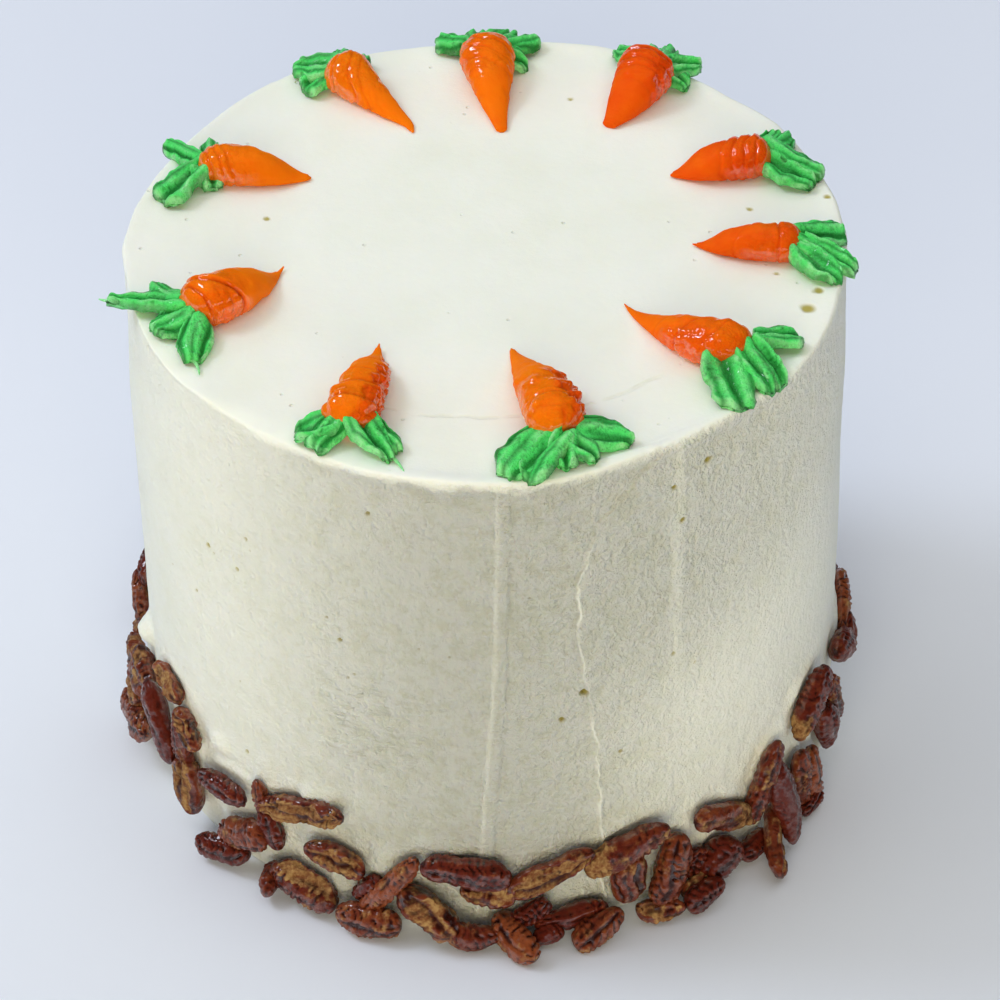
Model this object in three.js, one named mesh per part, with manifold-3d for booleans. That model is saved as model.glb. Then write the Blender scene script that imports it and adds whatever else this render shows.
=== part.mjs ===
// Tall frosted carrot cake: a solid frosted drum, ten piped carrots with leaf tufts
// round the top, and a border of pecans pressed in round the foot.
// Millimetres, +Z up, origin on the cake's axis at its flat underside.
// Azimuths are in degrees from the front (-Y), growing towards the right (+X).

import * as THREE from 'three';
import { mergeVertices } from 'three/addons/utils/BufferGeometryUtils.js';
import Module from 'manifold-3d';

const wasm = await Module();
wasm.setup();

// Driving dimensions
const CAKE_HEIGHT = 158;
const TOP_RADIUS = 95.2;
const FOOT_RADIUS = 96.2;
const RIM_ROUNDING = 3.2;
const RIM_WAVE = 1.5;
const RIM_WAVES_ROUND = 5;
const CLEARANCE = 0.3;
const CAKE_COLUMNS = 48;

const FLAP_AZIMUTH = 15;
const FLAP_DEPTH = 0.7;
const JOINT_WIDTH = 7;
const JOINT_DEPTH = 0.35;

const CARROT_SIDES = 8;
const CARROT_SQUASH = 0.86;
const CARROT_SINK = 0.78;
const CARROT_SHOULDER = 0.86;
const RIDGE_DEPTH = 0.35;

const LEAF_THICKNESS = 2.6;
const PECAN_SIDES = 6;

const BACK_CLUSTERS = 14;
const BACK_START = 99;
const BACK_END = 256;

const COLOURS = {
  frosting: 0xf0efe2,
  carrot: 0xe9640f,
  leaf: 0x2fa556,
  pecan: 0x7a3a20,
};

const radians = (degrees) => degrees * Math.PI / 180;

function smoothStep(from, to, value) {
  const t = Math.min(Math.max((value - from) / (to - from), 0), 1);
  return t * t * (3 - 2 * t);
}

// One stream of repeatable random numbers between 0 and 1
function randomStream(seed) {
  let state = seed;
  return () => {
    state = state * 16807 % 2147483647;
    return state / 2147483647;
  };
}

// ---------------------------------------------------------------- helpers

// Shared vertices, no zero-area faces, and faces turned outwards
function tidy(geometry) {
  geometry.deleteAttribute('normal');
  geometry.deleteAttribute('uv');
  const merged = mergeVertices(geometry, 1e-3);
  const position = merged.attributes.position;
  const corners = [0, 1, 2].map(() => new THREE.Vector3());
  const faces = [];
  let volume = 0;
  for (let i = 0; i < merged.index.count; i += 3) {
    const face = [0, 1, 2].map((k) => merged.index.getX(i + k));
    if (face[0] === face[1] || face[1] === face[2] || face[0] === face[2]) continue;
    face.forEach((v, k) => corners[k].fromBufferAttribute(position, v));
    volume += corners[0].dot(corners[1].clone().cross(corners[2]));
    faces.push(face);
  }
  const outward = faces.map(([a, b, c]) => (volume < 0 ? [a, c, b] : [a, b, c]));
  merged.setIndex(outward.flat());
  return merged;
}

function deform(geometry, move) {
  const position = geometry.attributes.position;
  const point = new THREE.Vector3();
  for (let i = 0; i < position.count; i += 1) {
    point.fromBufferAttribute(position, i);
    move(point);
    position.setXYZ(i, point.x, point.y, point.z);
  }
  return geometry;
}

function toSolid(geometry) {
  return new wasm.Manifold(new wasm.Mesh({
    numProp: 3,
    vertProperties: new Float32Array(geometry.attributes.position.array),
    triVerts: new Uint32Array(geometry.index.array),
  }));
}

function toGeometry(solid) {
  const mesh = solid.getMesh();
  const geometry = new THREE.BufferGeometry();
  geometry.setAttribute('position', new THREE.BufferAttribute(mesh.vertProperties, 3));
  geometry.setIndex(new THREE.BufferAttribute(mesh.triVerts, 1));
  return geometry;
}

const fuse = (solids) => solids.reduce((whole, solid) => whole.add(solid));

function piece(name, geometry, colour, roughness) {
  const material = new THREE.MeshStandardMaterial({ color: colour, roughness, metalness: 0 });
  const mesh = new THREE.Mesh(geometry, material);
  mesh.name = name;
  return mesh;
}

const numbered = (word, index) => `${word}_${String(index + 1).padStart(2, '0')}`;

// ------------------------------------------------------------ frosted cake

// Frosting's outer radius: five slow waves, a fuller foot where the pecans sit,
// the flap of the last spatula stroke, and the joint where the stroke began
function sideRadius(azimuth, height) {
  const up = height / CAKE_HEIGHT;
  const straight = FOOT_RADIUS + (TOP_RADIUS - FOOT_RADIUS) * up;
  const waves = RIM_WAVE * Math.cos(RIM_WAVES_ROUND * azimuth) * (0.25 + 0.75 * up);
  const degrees = THREE.MathUtils.radToDeg(Math.atan2(Math.sin(azimuth), Math.cos(azimuth)));
  const flapEdge = FLAP_AZIMUTH + 1.8 * Math.sin(height / 24);
  const flap = FLAP_DEPTH * smoothStep(flapEdge - 1.5, flapEdge + 1.5, degrees)
    * (1 - smoothStep(FLAP_AZIMUTH + 9, FLAP_AZIMUTH + 29, degrees));
  const joint = JOINT_DEPTH * (1 - smoothStep(1, JOINT_WIDTH / 2, Math.abs(degrees)));
  return straight + waves + flap + joint;
}

function frostedCake() {
  const wallHeights = [0, 22, 45, 68, 91, 114, 137, CAKE_HEIGHT - RIM_ROUNDING];
  const profile = [new THREE.Vector2(0, 0)];
  wallHeights.forEach((height) => profile.push(new THREE.Vector2(1, height)));
  const roll = RIM_ROUNDING / TOP_RADIUS;
  [30, 60, 90].forEach((turn) => {
    const angle = radians(turn);
    profile.push(new THREE.Vector2(
      1 - roll * (1 - Math.cos(angle)),
      CAKE_HEIGHT - RIM_ROUNDING * (1 - Math.sin(angle)),
    ));
  });
  profile.push(new THREE.Vector2(0.5, CAKE_HEIGHT), new THREE.Vector2(0, CAKE_HEIGHT));
  const drum = new THREE.LatheGeometry(profile, CAKE_COLUMNS).rotateX(Math.PI / 2);
  deform(drum, (point) => {
    const share = Math.hypot(point.x, point.y);
    if (share < 1e-6) return;
    const radius = share * sideRadius(Math.atan2(point.x, -point.y), point.z);
    point.x *= radius / share;
    point.y *= radius / share;
  });
  return tidy(drum);
}

// ------------------------------------------------------------ piped carrots

// tip and crown lie on the cake's top, bow is the bend to the left of the way from tip
// to crown, and girth holds the half widths at the tip end and at each quarter up to the crown
const CARROTS = [
  { tip: [6, -43], crown: [18.5, -81], bow: -0.6, girth: [0.8, 3.0, 5.5, 7.4, 7.0] },
  { tip: [36, -26], crown: [64, -50], bow: -3.2, girth: [0.7, 1.9, 4.4, 6.4, 6.6] },
  { tip: [54.5, -3], crown: [83, -6.5], bow: -1.2, girth: [0.8, 3.9, 4.7, 5.5, 5.2] },
  { tip: [50, 27.5], crown: [77, 33.5], bow: -0.8, girth: [1.4, 4.8, 5.5, 6.0, 5.3] },
  { tip: [34, 52.5], crown: [47, 77.5], bow: -1.6, girth: [2.2, 5.0, 6.7, 7.9, 6.2] },
  { tip: [5, 51], crown: [0.7, 86.5], bow: 0.5, girth: [1.8, 3.3, 5.8, 7.7, 6.2] },
  { tip: [-18, 52.5], crown: [-41, 78], bow: 0.6, girth: [1.4, 2.7, 4.3, 6.4, 5.6] },
  { tip: [-47, 31], crown: [-77, 34], bow: 0.6, girth: [1.5, 4.1, 5.4, 5.8, 4.4] },
  { tip: [-52.5, -10], crown: [-77, -30], bow: 2.6, girth: [0.8, 3.4, 5.3, 7.0, 6.8] },
  { tip: [-27.5, -42], crown: [-35.5, -77], bow: 1.0, girth: [0.9, 4.4, 5.6, 6.9, 7.0] },
];

const girthAt = (girth, share) => {
  const place = Math.min(Math.max(share, 0), 1) * (girth.length - 1);
  const below = Math.min(Math.floor(place), girth.length - 2);
  const part = place - below;
  return girth[below] * (1 - part) + girth[below + 1] * part;
};

// A piped cone lying on the top, with ridges across it and a flat where it rests
function carrotBody({ tip, crown, bow, girth }, grow = 0) {
  const from = new THREE.Vector2(...tip);
  const to = new THREE.Vector2(...crown);
  const length = from.distanceTo(to);
  const along = to.clone().sub(from).divideScalar(length);
  const profile = [new THREE.Vector2(0, -grow)];
  [0.03, 0.14, 0.3, 0.45, 0.6, 0.75, 0.89, 0.97].forEach((share, i) => {
    const past = Math.max((share - CARROT_SHOULDER) / (1 - CARROT_SHOULDER), 0);
    const dome = Math.sqrt(1 - 0.9 * past * past);
    const ridge = (i % 2 ? RIDGE_DEPTH : -RIDGE_DEPTH) * share;
    profile.push(new THREE.Vector2(girthAt(girth, share) * dome + ridge + grow, share * length));
  });
  profile.push(new THREE.Vector2(0, length + grow));
  const cone = new THREE.LatheGeometry(profile, CARROT_SIDES);
  const floor = CAKE_HEIGHT + (grow ? -1 : CLEARANCE);
  deform(cone, (point) => {
    const share = Math.min(Math.max(point.y / length, 0), 1);
    const side = point.x + 4 * bow * share * (1 - share);
    const height = CAKE_HEIGHT + point.z * CARROT_SQUASH + girthAt(girth, share) * CARROT_SINK;
    const x = from.x + along.x * point.y - along.y * side;
    const y = from.y + along.y * point.y + along.x * side;
    point.set(x, y, Math.max(height, floor));
  });
  return tidy(cone);
}

// -------------------------------------------------------------- leaf tufts

// Each leaf: root and tip on the top, full width, how far the root rises above the top,
// the depth of its fold (below zero where the middle stands up), and its outline
const TUFTS = [
  [
    { root: [14, -79], tip: [4.5, -96], width: 11, rise: 6, fold: 1.2, form: 'round' },
    { root: [16, -82], tip: [9, -99], width: 7.5, rise: 6, fold: 1.6, form: 'ribbon' },
    { root: [18.5, -81], tip: [19, -94], width: 6.5, rise: 6, fold: -1.6, form: 'ribbon' },
    { root: [20.5, -80], tip: [26, -93], width: 6, rise: 5, fold: 1.2, form: 'ribbon' },
    { root: [21, -79], tip: [36, -82], width: 10, rise: 5, fold: -0.8, form: 'point' },
  ],
  [
    { root: [59.5, -50], tip: [62.5, -72], width: 11.5, rise: 6, fold: 1.5, form: 'round' },
    { root: [64.5, -49], tip: [69.5, -65], width: 6, rise: 7, fold: 1.4, form: 'ribbon' },
    { root: [67, -47.5], tip: [73, -63], width: 5.5, rise: 6, fold: 1.2, form: 'ribbon' },
    { root: [66.5, -45], tip: [80, -45.5], width: 10, rise: 5, fold: -1.0, form: 'round' },
  ],
  [
    { root: [80.5, -2], tip: [95.5, 2.5], width: 9, rise: 6, fold: -1.0, form: 'fan' },
    { root: [81, -6], tip: [91.5, -5], width: 6.5, rise: 7, fold: -1.2, form: 'round' },
    { root: [84, -8], tip: [97.5, -17.5], width: 6.5, rise: 5, fold: 1.0, form: 'ribbon' },
    { root: [81, -10], tip: [94, -18.5], width: 10, rise: 4, fold: 1.3, form: 'round' },
  ],
  [
    { root: [74.5, 35], tip: [79, 46], width: 5, rise: 6, fold: -0.8, form: 'ribbon' },
    { root: [77, 36], tip: [91.5, 28], width: 7.5, rise: 6, fold: -1.3, form: 'ribbon' },
    { root: [75.5, 31.5], tip: [90, 24], width: 9, rise: 5, fold: 1.4, form: 'round' },
    { root: [77, 36], tip: [83.5, 44.5], width: 5, rise: 6, fold: -0.8, form: 'ribbon' },
  ],
  [
    { root: [46, 77], tip: [37, 86], width: 7.5, rise: 5, fold: 1.0, form: 'round' },
    { root: [47.5, 77], tip: [47.5, 87.5], width: 6.5, rise: 6, fold: -1.0, form: 'ribbon' },
    { root: [49, 77], tip: [53, 87], width: 5.5, rise: 6, fold: -1.0, form: 'ribbon' },
    { root: [50, 75], tip: [61, 77.5], width: 8, rise: 5, fold: 1.2, form: 'point' },
    { root: [50.5, 73], tip: [56.5, 69], width: 7, rise: 4, fold: 1.0, form: 'round' },
  ],
  [
    { root: [-1, 86], tip: [-11.5, 93.5], width: 8, rise: 5, fold: -0.9, form: 'fan' },
    { root: [0, 86], tip: [0, 97], width: 8, rise: 6, fold: 1.0, form: 'round' },
    { root: [2.5, 86], tip: [7.5, 97], width: 8, rise: 6, fold: 1.0, form: 'round' },
    { root: [4, 85], tip: [15, 93.5], width: 7.5, rise: 5, fold: -0.9, form: 'ribbon' },
    { root: [4.5, 84], tip: [12, 80], width: 6.5, rise: 4, fold: 1.2, form: 'round' },
  ],
  [
    { root: [-39, 77], tip: [-32.5, 84.5], width: 5, rise: 6, fold: -0.8, form: 'ribbon' },
    { root: [-40, 77], tip: [-39.5, 88.5], width: 5, rise: 6, fold: -0.9, form: 'ribbon' },
    { root: [-40, 77], tip: [-54, 79.5], width: 10.5, rise: 6, fold: 1.5, form: 'round' },
    { root: [-41, 74.5], tip: [-50, 70.5], width: 8, rise: 4, fold: 1.2, form: 'fan' },
  ],
  [
    { root: [-75, 33.5], tip: [-86.5, 46], width: 5.5, rise: 5, fold: -1.0, form: 'ribbon' },
    { root: [-75, 34.5], tip: [-74, 46.5], width: 5, rise: 5, fold: -1.0, form: 'ribbon' },
    { root: [-74, 32], tip: [-87, 21.5], width: 10.5, rise: 5, fold: 1.5, form: 'fan' },
    { root: [-75, 31], tip: [-72.5, 25], width: 6.5, rise: 3, fold: 0.8, form: 'ribbon' },
  ],
  [
    { root: [-76, -26], tip: [-98.5, -20.5], width: 7, rise: 5, fold: 1.2, form: 'point' },
    { root: [-78, -25], tip: [-86.5, -17.5], width: 6.5, rise: 4, fold: -0.9, form: 'round' },
    { root: [-75.5, -27.5], tip: [-83.5, -30.5], width: 6, rise: 6, fold: 1.0, form: 'round' },
    { root: [-77, -31], tip: [-86.5, -36], width: 10.5, rise: 4, fold: 1.2, form: 'round' },
    { root: [-74.5, -32.5], tip: [-74, -48], width: 8.5, rise: 5, fold: 1.3, form: 'round' },
  ],
  [
    { root: [-37.5, -74], tip: [-47.5, -81], width: 10.5, rise: 6, fold: 1.5, form: 'fan' },
    { root: [-36, -75.5], tip: [-44, -87.5], width: 7.5, rise: 6, fold: -1.2, form: 'ribbon' },
    { root: [-34, -75.5], tip: [-24, -88.5], width: 11.5, rise: 6, fold: 1.6, form: 'round' },
    { root: [-31, -73.5], tip: [-22, -86.5], width: 5.5, rise: 4, fold: -1.0, form: 'ribbon' },
  ],
];

// Half width along a leaf, as a share of its greatest half width
const LEAF_FORMS = {
  round: (u) => Math.sin(Math.PI * (0.13 + 0.74 * u)) ** 0.8,
  ribbon: (u) => 0.72 + 0.28 * Math.sin(Math.PI * (0.2 + 0.7 * u)),
  point: (u) => 0.12 + 0.88 * Math.sin(Math.PI * (0.36 + 0.56 * u)),
  fan: (u) => 0.4 + 0.6 * Math.sqrt(u),
};

// Both faces of a leaf from one grid, split into triangles alike, with walls between
function leafBody(leaf) {
  const small = leaf.width < 9;
  const steps = { along: 3, across: small ? 2 : 4 };
  const grid = new THREE.PlaneGeometry(2, 1, steps.across, steps.along);
  const root = new THREE.Vector2(...leaf.root);
  const reach = new THREE.Vector2(...leaf.tip).sub(root);
  const across = new THREE.Vector2(-reach.y, reach.x).normalize();
  const outline = LEAF_FORMS[leaf.form];
  const faces = [1, -1].map((face) => {
    const points = [];
    for (let i = 0; i < grid.attributes.position.count; i += 1) {
      const v = grid.attributes.position.getX(i);
      const u = 0.5 - grid.attributes.position.getY(i);
      const side = v * outline(u) * leaf.width / 2;
      const x = root.x + reach.x * u + across.x * side;
      const y = root.y + reach.y * u + across.y * side;
      const fold = leaf.fold * (Math.abs(v) - 0.5);
      const half = LEAF_THICKNESS / 2 * (1 - 0.35 * v * v);
      const middle = LEAF_THICKNESS / 2 + (leaf.rise - 2) * (1 - u) ** 1.4 + 0.4 + fold;
      const bare = CAKE_HEIGHT + CLEARANCE + (face > 0 ? 1.0 : 0);
      points.push(new THREE.Vector3(x, y, Math.max(CAKE_HEIGHT + middle + face * half, bare)));
    }
    return points;
  });
  const count = faces[0].length;
  const triangles = [];
  for (let i = 0; i < grid.index.count; i += 3) {
    const [a, b, c] = [0, 1, 2].map((k) => grid.index.getX(i + k));
    triangles.push(a, b, c, a + count, c + count, b + count);
  }
  const rowLength = steps.across + 1;
  const border = [];
  for (let i = 0; i < steps.across; i += 1) border.push(i);
  for (let i = 0; i < steps.along; i += 1) border.push(i * rowLength + steps.across);
  for (let i = steps.across; i > 0; i -= 1) border.push(steps.along * rowLength + i);
  for (let i = steps.along; i > 0; i -= 1) border.push(i * rowLength);
  border.forEach((a, i) => {
    const b = border[(i + 1) % border.length];
    triangles.push(a, b, a + count, b, b + count, a + count);
  });
  const slab = new THREE.BufferGeometry().setFromPoints(faces.flat());
  slab.setIndex(triangles);
  return tidy(slab);
}

// --------------------------------------------------------------- pecans

// Each pecan: azimuth, height of its middle, turn of its long axis anticlockwise from
// level, length, width, how far its middle stands off the frosting, and the lean of
// its leading end outwards. A cluster is a group of pecans that touch.
const FRONT_CLUSTERS = [
  [[-97, 37.2, -8, 15, 6.8, 2.6, 0], [-93.2, 29, -62, 19, 7.5, 3.6, -8], [-92, 22, 0, 10, 6, 4.6, 0]],
  [[-83, 25, 10, 17, 7.5, 5.2, 0], [-74.5, 33, -20, 14, 8.5, 3.8, 0], [-77, 26, 20, 18, 8.5, 4.8, 0],
    [-79.2, 18.4, 12, 15, 8.5, 6, 0], [-77.2, 11.6, 16, 25, 10.8, 6.2, 0]],
  [[-63.5, 44, 0, 16.5, 7.5, 2.6, 0]],
  [[-65, 27.8, -55, 25, 8.8, 5, 0]],
  [[-56.7, 36.4, -45, 13.5, 8, 3.8, 0], [-58.4, 27.6, -80, 18, 6.8, 3.8, 0],
    [-56.6, 15.4, -75, 18, 10.8, 4.7, 0]],
  [[-47.9, 26, 9, 20, 7.5, 4, 0]],
  [[-39.5, 29.2, -84, 16, 4.8, 3.3, 0], [-37.4, 21, -70, 13, 6.8, 3.6, 0],
    [-31.5, 33.8, 18, 29.5, 8.4, 3.9, 0]],
  [[-42.8, 14.9, 27, 20, 9.4, 5.2, 0], [-46.6, 6, 10, 17.5, 8.6, 6.8, -20]],
  [[-36.8, 5.2, 0, 12, 7, 6.4, 66], [-31, 7, -14, 21.5, 10.8, 5, 0]],
  [[-25.6, 21, -9, 18.5, 8.8, 4, 0]],
  [[-16.3, 18, 54, 27, 6.2, 5, -6], [-20, 13.5, 46, 12, 7, 3.8, 0], [-19.4, 5.2, 0, 19, 10.3, 7.2, 0]],
  [[-10, 11, -38, 20.5, 11, 6, 10]],
  [[-4.4, 25.9, -9, 25, 9.5, 4.2, 0], [-1.1, 18.6, -14, 15.5, 8, 4.4, 0],
    [8.3, 24.6, 27, 27.5, 8.4, 4.5, 0]],
  [[-3.3, 4.7, 0, 15, 8, 7.2, 0], [2.8, 5.4, -30, 17.3, 9.4, 8.6, 48], [5.3, 10.6, 35, 13, 7, 5, 0]],
  [[11.6, 7.2, 7, 21, 8, 5, 0], [7.8, 4, 20, 9, 6, 7.5, 0], [15.2, 4.9, 26, 16.5, 9, 8.8, -15]],
  [[20.5, 28, 19, 26, 9.4, 4.5, 0], [20.8, 16.8, 86, 17, 10.2, 4.6, 0]],
  [[27.6, 15.6, 65, 22, 10.8, 5.5, -12], [25.3, 4.5, -7, 14, 7, 7.8, 20]],
  [[33, 11, 80, 12, 5.5, 4, 0], [37.1, 9.4, 45, 14.5, 12, 5.3, 0], [32.4, 5.2, 0, 10.5, 7.5, 6.4, 0],
    [32.4, 5, 20, 13, 9, 10, 0]],
  [[39.2, 21.9, -28, 26, 8.5, 4, 0], [47.3, 25.4, 64, 26.5, 8.1, 4.2, 0]],
  [[50.6, 15.4, 89, 28, 8.6, 7, -18], [47.2, 7, -155, 23, 8.5, 9.5, 42], [45, 5, 10, 12, 7.5, 5, 0]],
  [[57.4, 13.8, 94, 22, 7.8, 4.6, 0], [60.8, 9.8, 84, 19, 7.8, 4.8, -8], [58.6, 3.6, 10, 10, 6, 7, 0]],
  [[60.5, 37.5, 40, 22.5, 9.6, 4, 0]],
  [[70.1, 24, 106, 24, 7.2, 4, 0], [67.3, 18.6, 102, 19, 8.8, 4.1, 0]],
  [[77.8, 32.8, -32, 21, 8.8, 3.6, 0], [83.8, 27, 80, 15, 7.6, 4.5, 0], [88, 33.5, 8, 23, 6, 2.9, 0]],
];

// Round the back: a pecan leaning to one side with its low end in one that lies at the
// foot, then in turn a short piece wedged behind it or another laid across its top end
function backClusters() {
  const random = randomStream(4451);
  const between = (low, high) => low + (high - low) * random();
  const clusters = [];
  for (let i = 0; i < BACK_CLUSTERS; i += 1) {
    const middle = BACK_START + (BACK_END - BACK_START) * (i + 0.5) / BACK_CLUSTERS;
    const side = random() < 0.5 ? -1 : 1;
    const slope = between(26, 72);
    const length = between(20, 26);
    const rise = length / 2 * Math.sin(radians(slope));
    const reach = THREE.MathUtils.radToDeg(length / 2 * Math.cos(radians(slope)) / FOOT_RADIUS);
    const foot = middle + side * between(-3.2, -2.2);
    clusters.push([
      [foot + side * reach, 7 + rise, side * slope, length, between(7.5, 10), between(4.5, 5.5),
        -side * between(0, 12)],
      [foot + between(-1, 1), between(5, 6), between(-8, 8), between(16, 20), between(8.5, 10),
        between(5.5, 7), between(-14, 14)],
      i % 3 === 0
        ? [foot + side * 1.7 * reach, 7 + 1.7 * rise, -side * between(10, 45), between(14, 18),
          between(6.5, 8.5), between(4.2, 4.8), 0]
        : [foot + side * 6, between(4.5, 6), between(-20, 20), between(14, 18), between(7, 9),
          between(5.5, 6.5), between(-8, 8)],
    ]);
  }
  return clusters;
}

// A pecan half with pointed ends, domed outwards and flattened against the frosting
function pecanBody([azimuth, height, turn, length, width, standOff, lean], grow = 0) {
  const small = length < 14;
  const shares = small ? [0.12, 0.5, 0.88] : [0.08, 0.34, 0.66, 0.92];
  const half = length / 2 + grow;
  const profile = [new THREE.Vector2(0, -half)];
  shares.forEach((share) => {
    const round = Math.sin(Math.PI * share) ** 0.52;
    profile.push(new THREE.Vector2(round, (share * 2 - 1) * half));
  });
  profile.push(new THREE.Vector2(0, half));
  const nut = new THREE.LatheGeometry(profile, PECAN_SIDES);
  const angle = radians(azimuth);
  const out = new THREE.Vector3(Math.sin(angle), -Math.cos(angle), 0);
  const right = new THREE.Vector3(Math.cos(angle), Math.sin(angle), 0);
  const up = new THREE.Vector3(0, 0, 1);
  const spin = radians(turn);
  const tilt = radians(lean);
  const level = right.clone().multiplyScalar(Math.cos(spin)).addScaledVector(up, Math.sin(spin));
  const axis = level.clone().multiplyScalar(Math.cos(tilt)).addScaledVector(out, Math.sin(tilt));
  const face = out.clone().multiplyScalar(Math.cos(tilt)).addScaledVector(level, -Math.sin(tilt));
  const beside = face.clone().cross(axis);
  const centre = out.clone().multiplyScalar(sideRadius(angle, height) + standOff);
  centre.z = height;
  const thickness = width * 0.72;
  deform(nut, (point) => {
    const across = point.x * (width / 2 + grow);
    const depth = point.z * (thickness / 2 + grow);
    const place = centre.clone().addScaledVector(axis, point.y)
      .addScaledVector(beside, across).addScaledVector(face, depth);
    const turnHere = Math.atan2(place.x, -place.y);
    const reach = Math.hypot(place.x, place.y);
    const bare = sideRadius(turnHere, place.z) + CLEARANCE - (grow ? 1 : 0);
    const push = Math.max(bare / reach, 1);
    point.set(place.x * push, place.y * push, Math.max(place.z, grow ? -1 : 0));
  });
  return tidy(nut);
}

// ------------------------------------------------------------ assembly

const cake = new THREE.Group();
cake.add(piece('cake', frostedCake(), COLOURS.frosting, 0.55));

CARROTS.forEach((carrot, i) => {
  cake.add(piece(numbered('carrot', i), carrotBody(carrot), COLOURS.carrot, 0.3));
  const clear = toSolid(carrotBody(carrot, CLEARANCE));
  const tuft = fuse(TUFTS[i].map((leaf) => toSolid(leafBody(leaf)))).subtract(clear);
  cake.add(piece(numbered('leaves', i), toGeometry(tuft), COLOURS.leaf, 0.6));
});

// Each cluster is fused, and cut back where an earlier neighbour already lies
const clusters = [...FRONT_CLUSTERS, ...backClusters()];
const placed = [];
clusters.forEach((cluster, i) => {
  let solid = fuse(cluster.map((pecan) => toSolid(pecanBody(pecan))));
  placed.forEach((earlier) => {
    solid = solid.subtract(earlier);
  });
  placed.push(fuse(cluster.map((pecan) => toSolid(pecanBody(pecan, CLEARANCE)))));
  cake.add(piece(numbered('pecans', i), toGeometry(solid), COLOURS.pecan, 0.45));
});

export default cake;
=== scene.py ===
"""Frosted carrot cake with piped carrots, leaf tufts and a pecan border round its foot.

Laid out as an add-on: sizes and colours are properties, each group of like pieces has
its own operator, and main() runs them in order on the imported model. Sizes in the tables
are millimetres; azimuths are degrees from the front (-Y), growing to the right (+X).
"""

import math
from collections import namedtuple
from contextlib import contextmanager
from types import SimpleNamespace

import bmesh
import bpy
import numpy as np
from mathutils import Matrix, Vector


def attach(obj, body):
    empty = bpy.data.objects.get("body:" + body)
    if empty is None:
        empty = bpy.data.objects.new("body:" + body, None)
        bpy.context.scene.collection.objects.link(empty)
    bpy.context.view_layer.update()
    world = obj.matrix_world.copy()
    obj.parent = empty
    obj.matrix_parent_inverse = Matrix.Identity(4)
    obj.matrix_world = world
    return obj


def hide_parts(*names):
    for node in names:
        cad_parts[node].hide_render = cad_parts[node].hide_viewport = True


bl_info = {
    "name": "Carrot Cake",
    "version": (1, 0, 0),
    "blender": (4, 5, 0),
    "location": "3D View > Sidebar > Carrot Cake",
    "description": "Dresses the packed carrot cake: frosting, piped carrots, leaves and pecans",
    "category": "Object",
}

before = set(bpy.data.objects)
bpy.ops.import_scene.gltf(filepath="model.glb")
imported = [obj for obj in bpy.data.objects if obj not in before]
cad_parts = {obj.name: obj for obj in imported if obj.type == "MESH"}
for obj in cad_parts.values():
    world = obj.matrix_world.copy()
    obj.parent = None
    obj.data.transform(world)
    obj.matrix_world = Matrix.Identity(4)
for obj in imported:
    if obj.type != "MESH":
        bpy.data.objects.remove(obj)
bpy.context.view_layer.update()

MM = 0.001
FULL_TURN = 2 * np.pi
BODY = "root"

# ------------------------------------------------------------------ tables

# The frosted body: how far it waves in and out, how many times, how much wider its foot
# is, the rows of its mesh, its small holes without a place of their own, the radius at
# which the rim's bumps are laid out, and that of the ring the turning scraper left on top
RIM_WAVE = 1.5
RIM_WAVES_ROUND = 5
FOOT_SPREAD = 1.0
SIDE_ROWS = 148
TOP_ROWS = 34
SCATTERED_HOLES = 60
RIM_BUMPS_RADIUS = 95
RING_RADIUS = 70

# Carrots and leaves: how deep their undersides sit in the top, how far a leaf's root
# reaches back, how high its end stands, how far inside the rim it begins to hang, and
# how much of a thread's radius tapers away
CARROT_UNDERSIDE = -0.45
LEAF_UNDERSIDE = -0.25
LEAF_ROOT_OVERLAP = 1.6
LEAF_END_HEIGHT = 3.4
LEAF_HANG_START = 1.5
THREAD_TAPER = 0.42

# Pecans: thickness as a share of the width, spacing of the ribs, and how deep the side
# that faces the frosting may sit in it
PECAN_THICKNESS = 0.74
PECAN_RIB_SPACING = 2.2
PECAN_SUNK = 0.6

# How far the top of the side stands out or in at each azimuth
RIM_TURNS = [-180, -165, -144, -128, -116, -102, -92, -84, -74, -55,
             0, 55, 76, 88, 102, 124, 134, 144, 160, 180]
RIM_OFFSETS = [0.5, 0.0, -0.3, -0.6, 0.3, 1.8, 1.0, -1.0, -2.2, -0.9,
               0, 0, -2.3, -0.4, 1.8, 1.4, -1.7, -1.2, 1.6, 1.4]

# Small holes in the frosting: azimuth, height, radius, depth
AIR_HOLES = [
    (-18.6, 144.2, 0.8, 0.9), (-41.5, 119.2, 0.6, 0.8), (-50.3, 108.7, 0.9, 0.8),
    (-43.8, 107.0, 0.7, 0.5), (-26.3, 104.9, 0.6, 0.6), (-24.2, 98.5, 0.8, 0.9),
    (10.8, 76.2, 1.0, 0.9), (14.3, 84.2, 1.3, 1.2), (29.5, 145.0, 1.0, 1.0),
    (31.2, 132.9, 1.1, 0.7), (29.7, 88.2, 0.7, 0.7), (-54.1, 88.7, 0.6, 0.6),
    (-44.0, 41.2, 0.7, 0.6), (35.8, 148.7, 1.3, 0.8), (20.5, 60.0, 0.7, 0.7),
]

# Hollows torn in the top: x, y, radius, depth
TOP_HOLLOWS = [
    (83.0, -27.5, 2.2, 0.5), (86.5, -20.5, 1.5, 0.4), (76.0, -13.0, 0.8, 0.3),
    (70.0, 2.0, 0.8, 0.3), (-58.0, 14.0, 1.0, 0.25), (70.5, 15.0, 1.0, 0.3),
    (91.5, 19.5, 1.2, 0.4), (24.0, 66.0, 0.9, 0.25),
]

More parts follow.
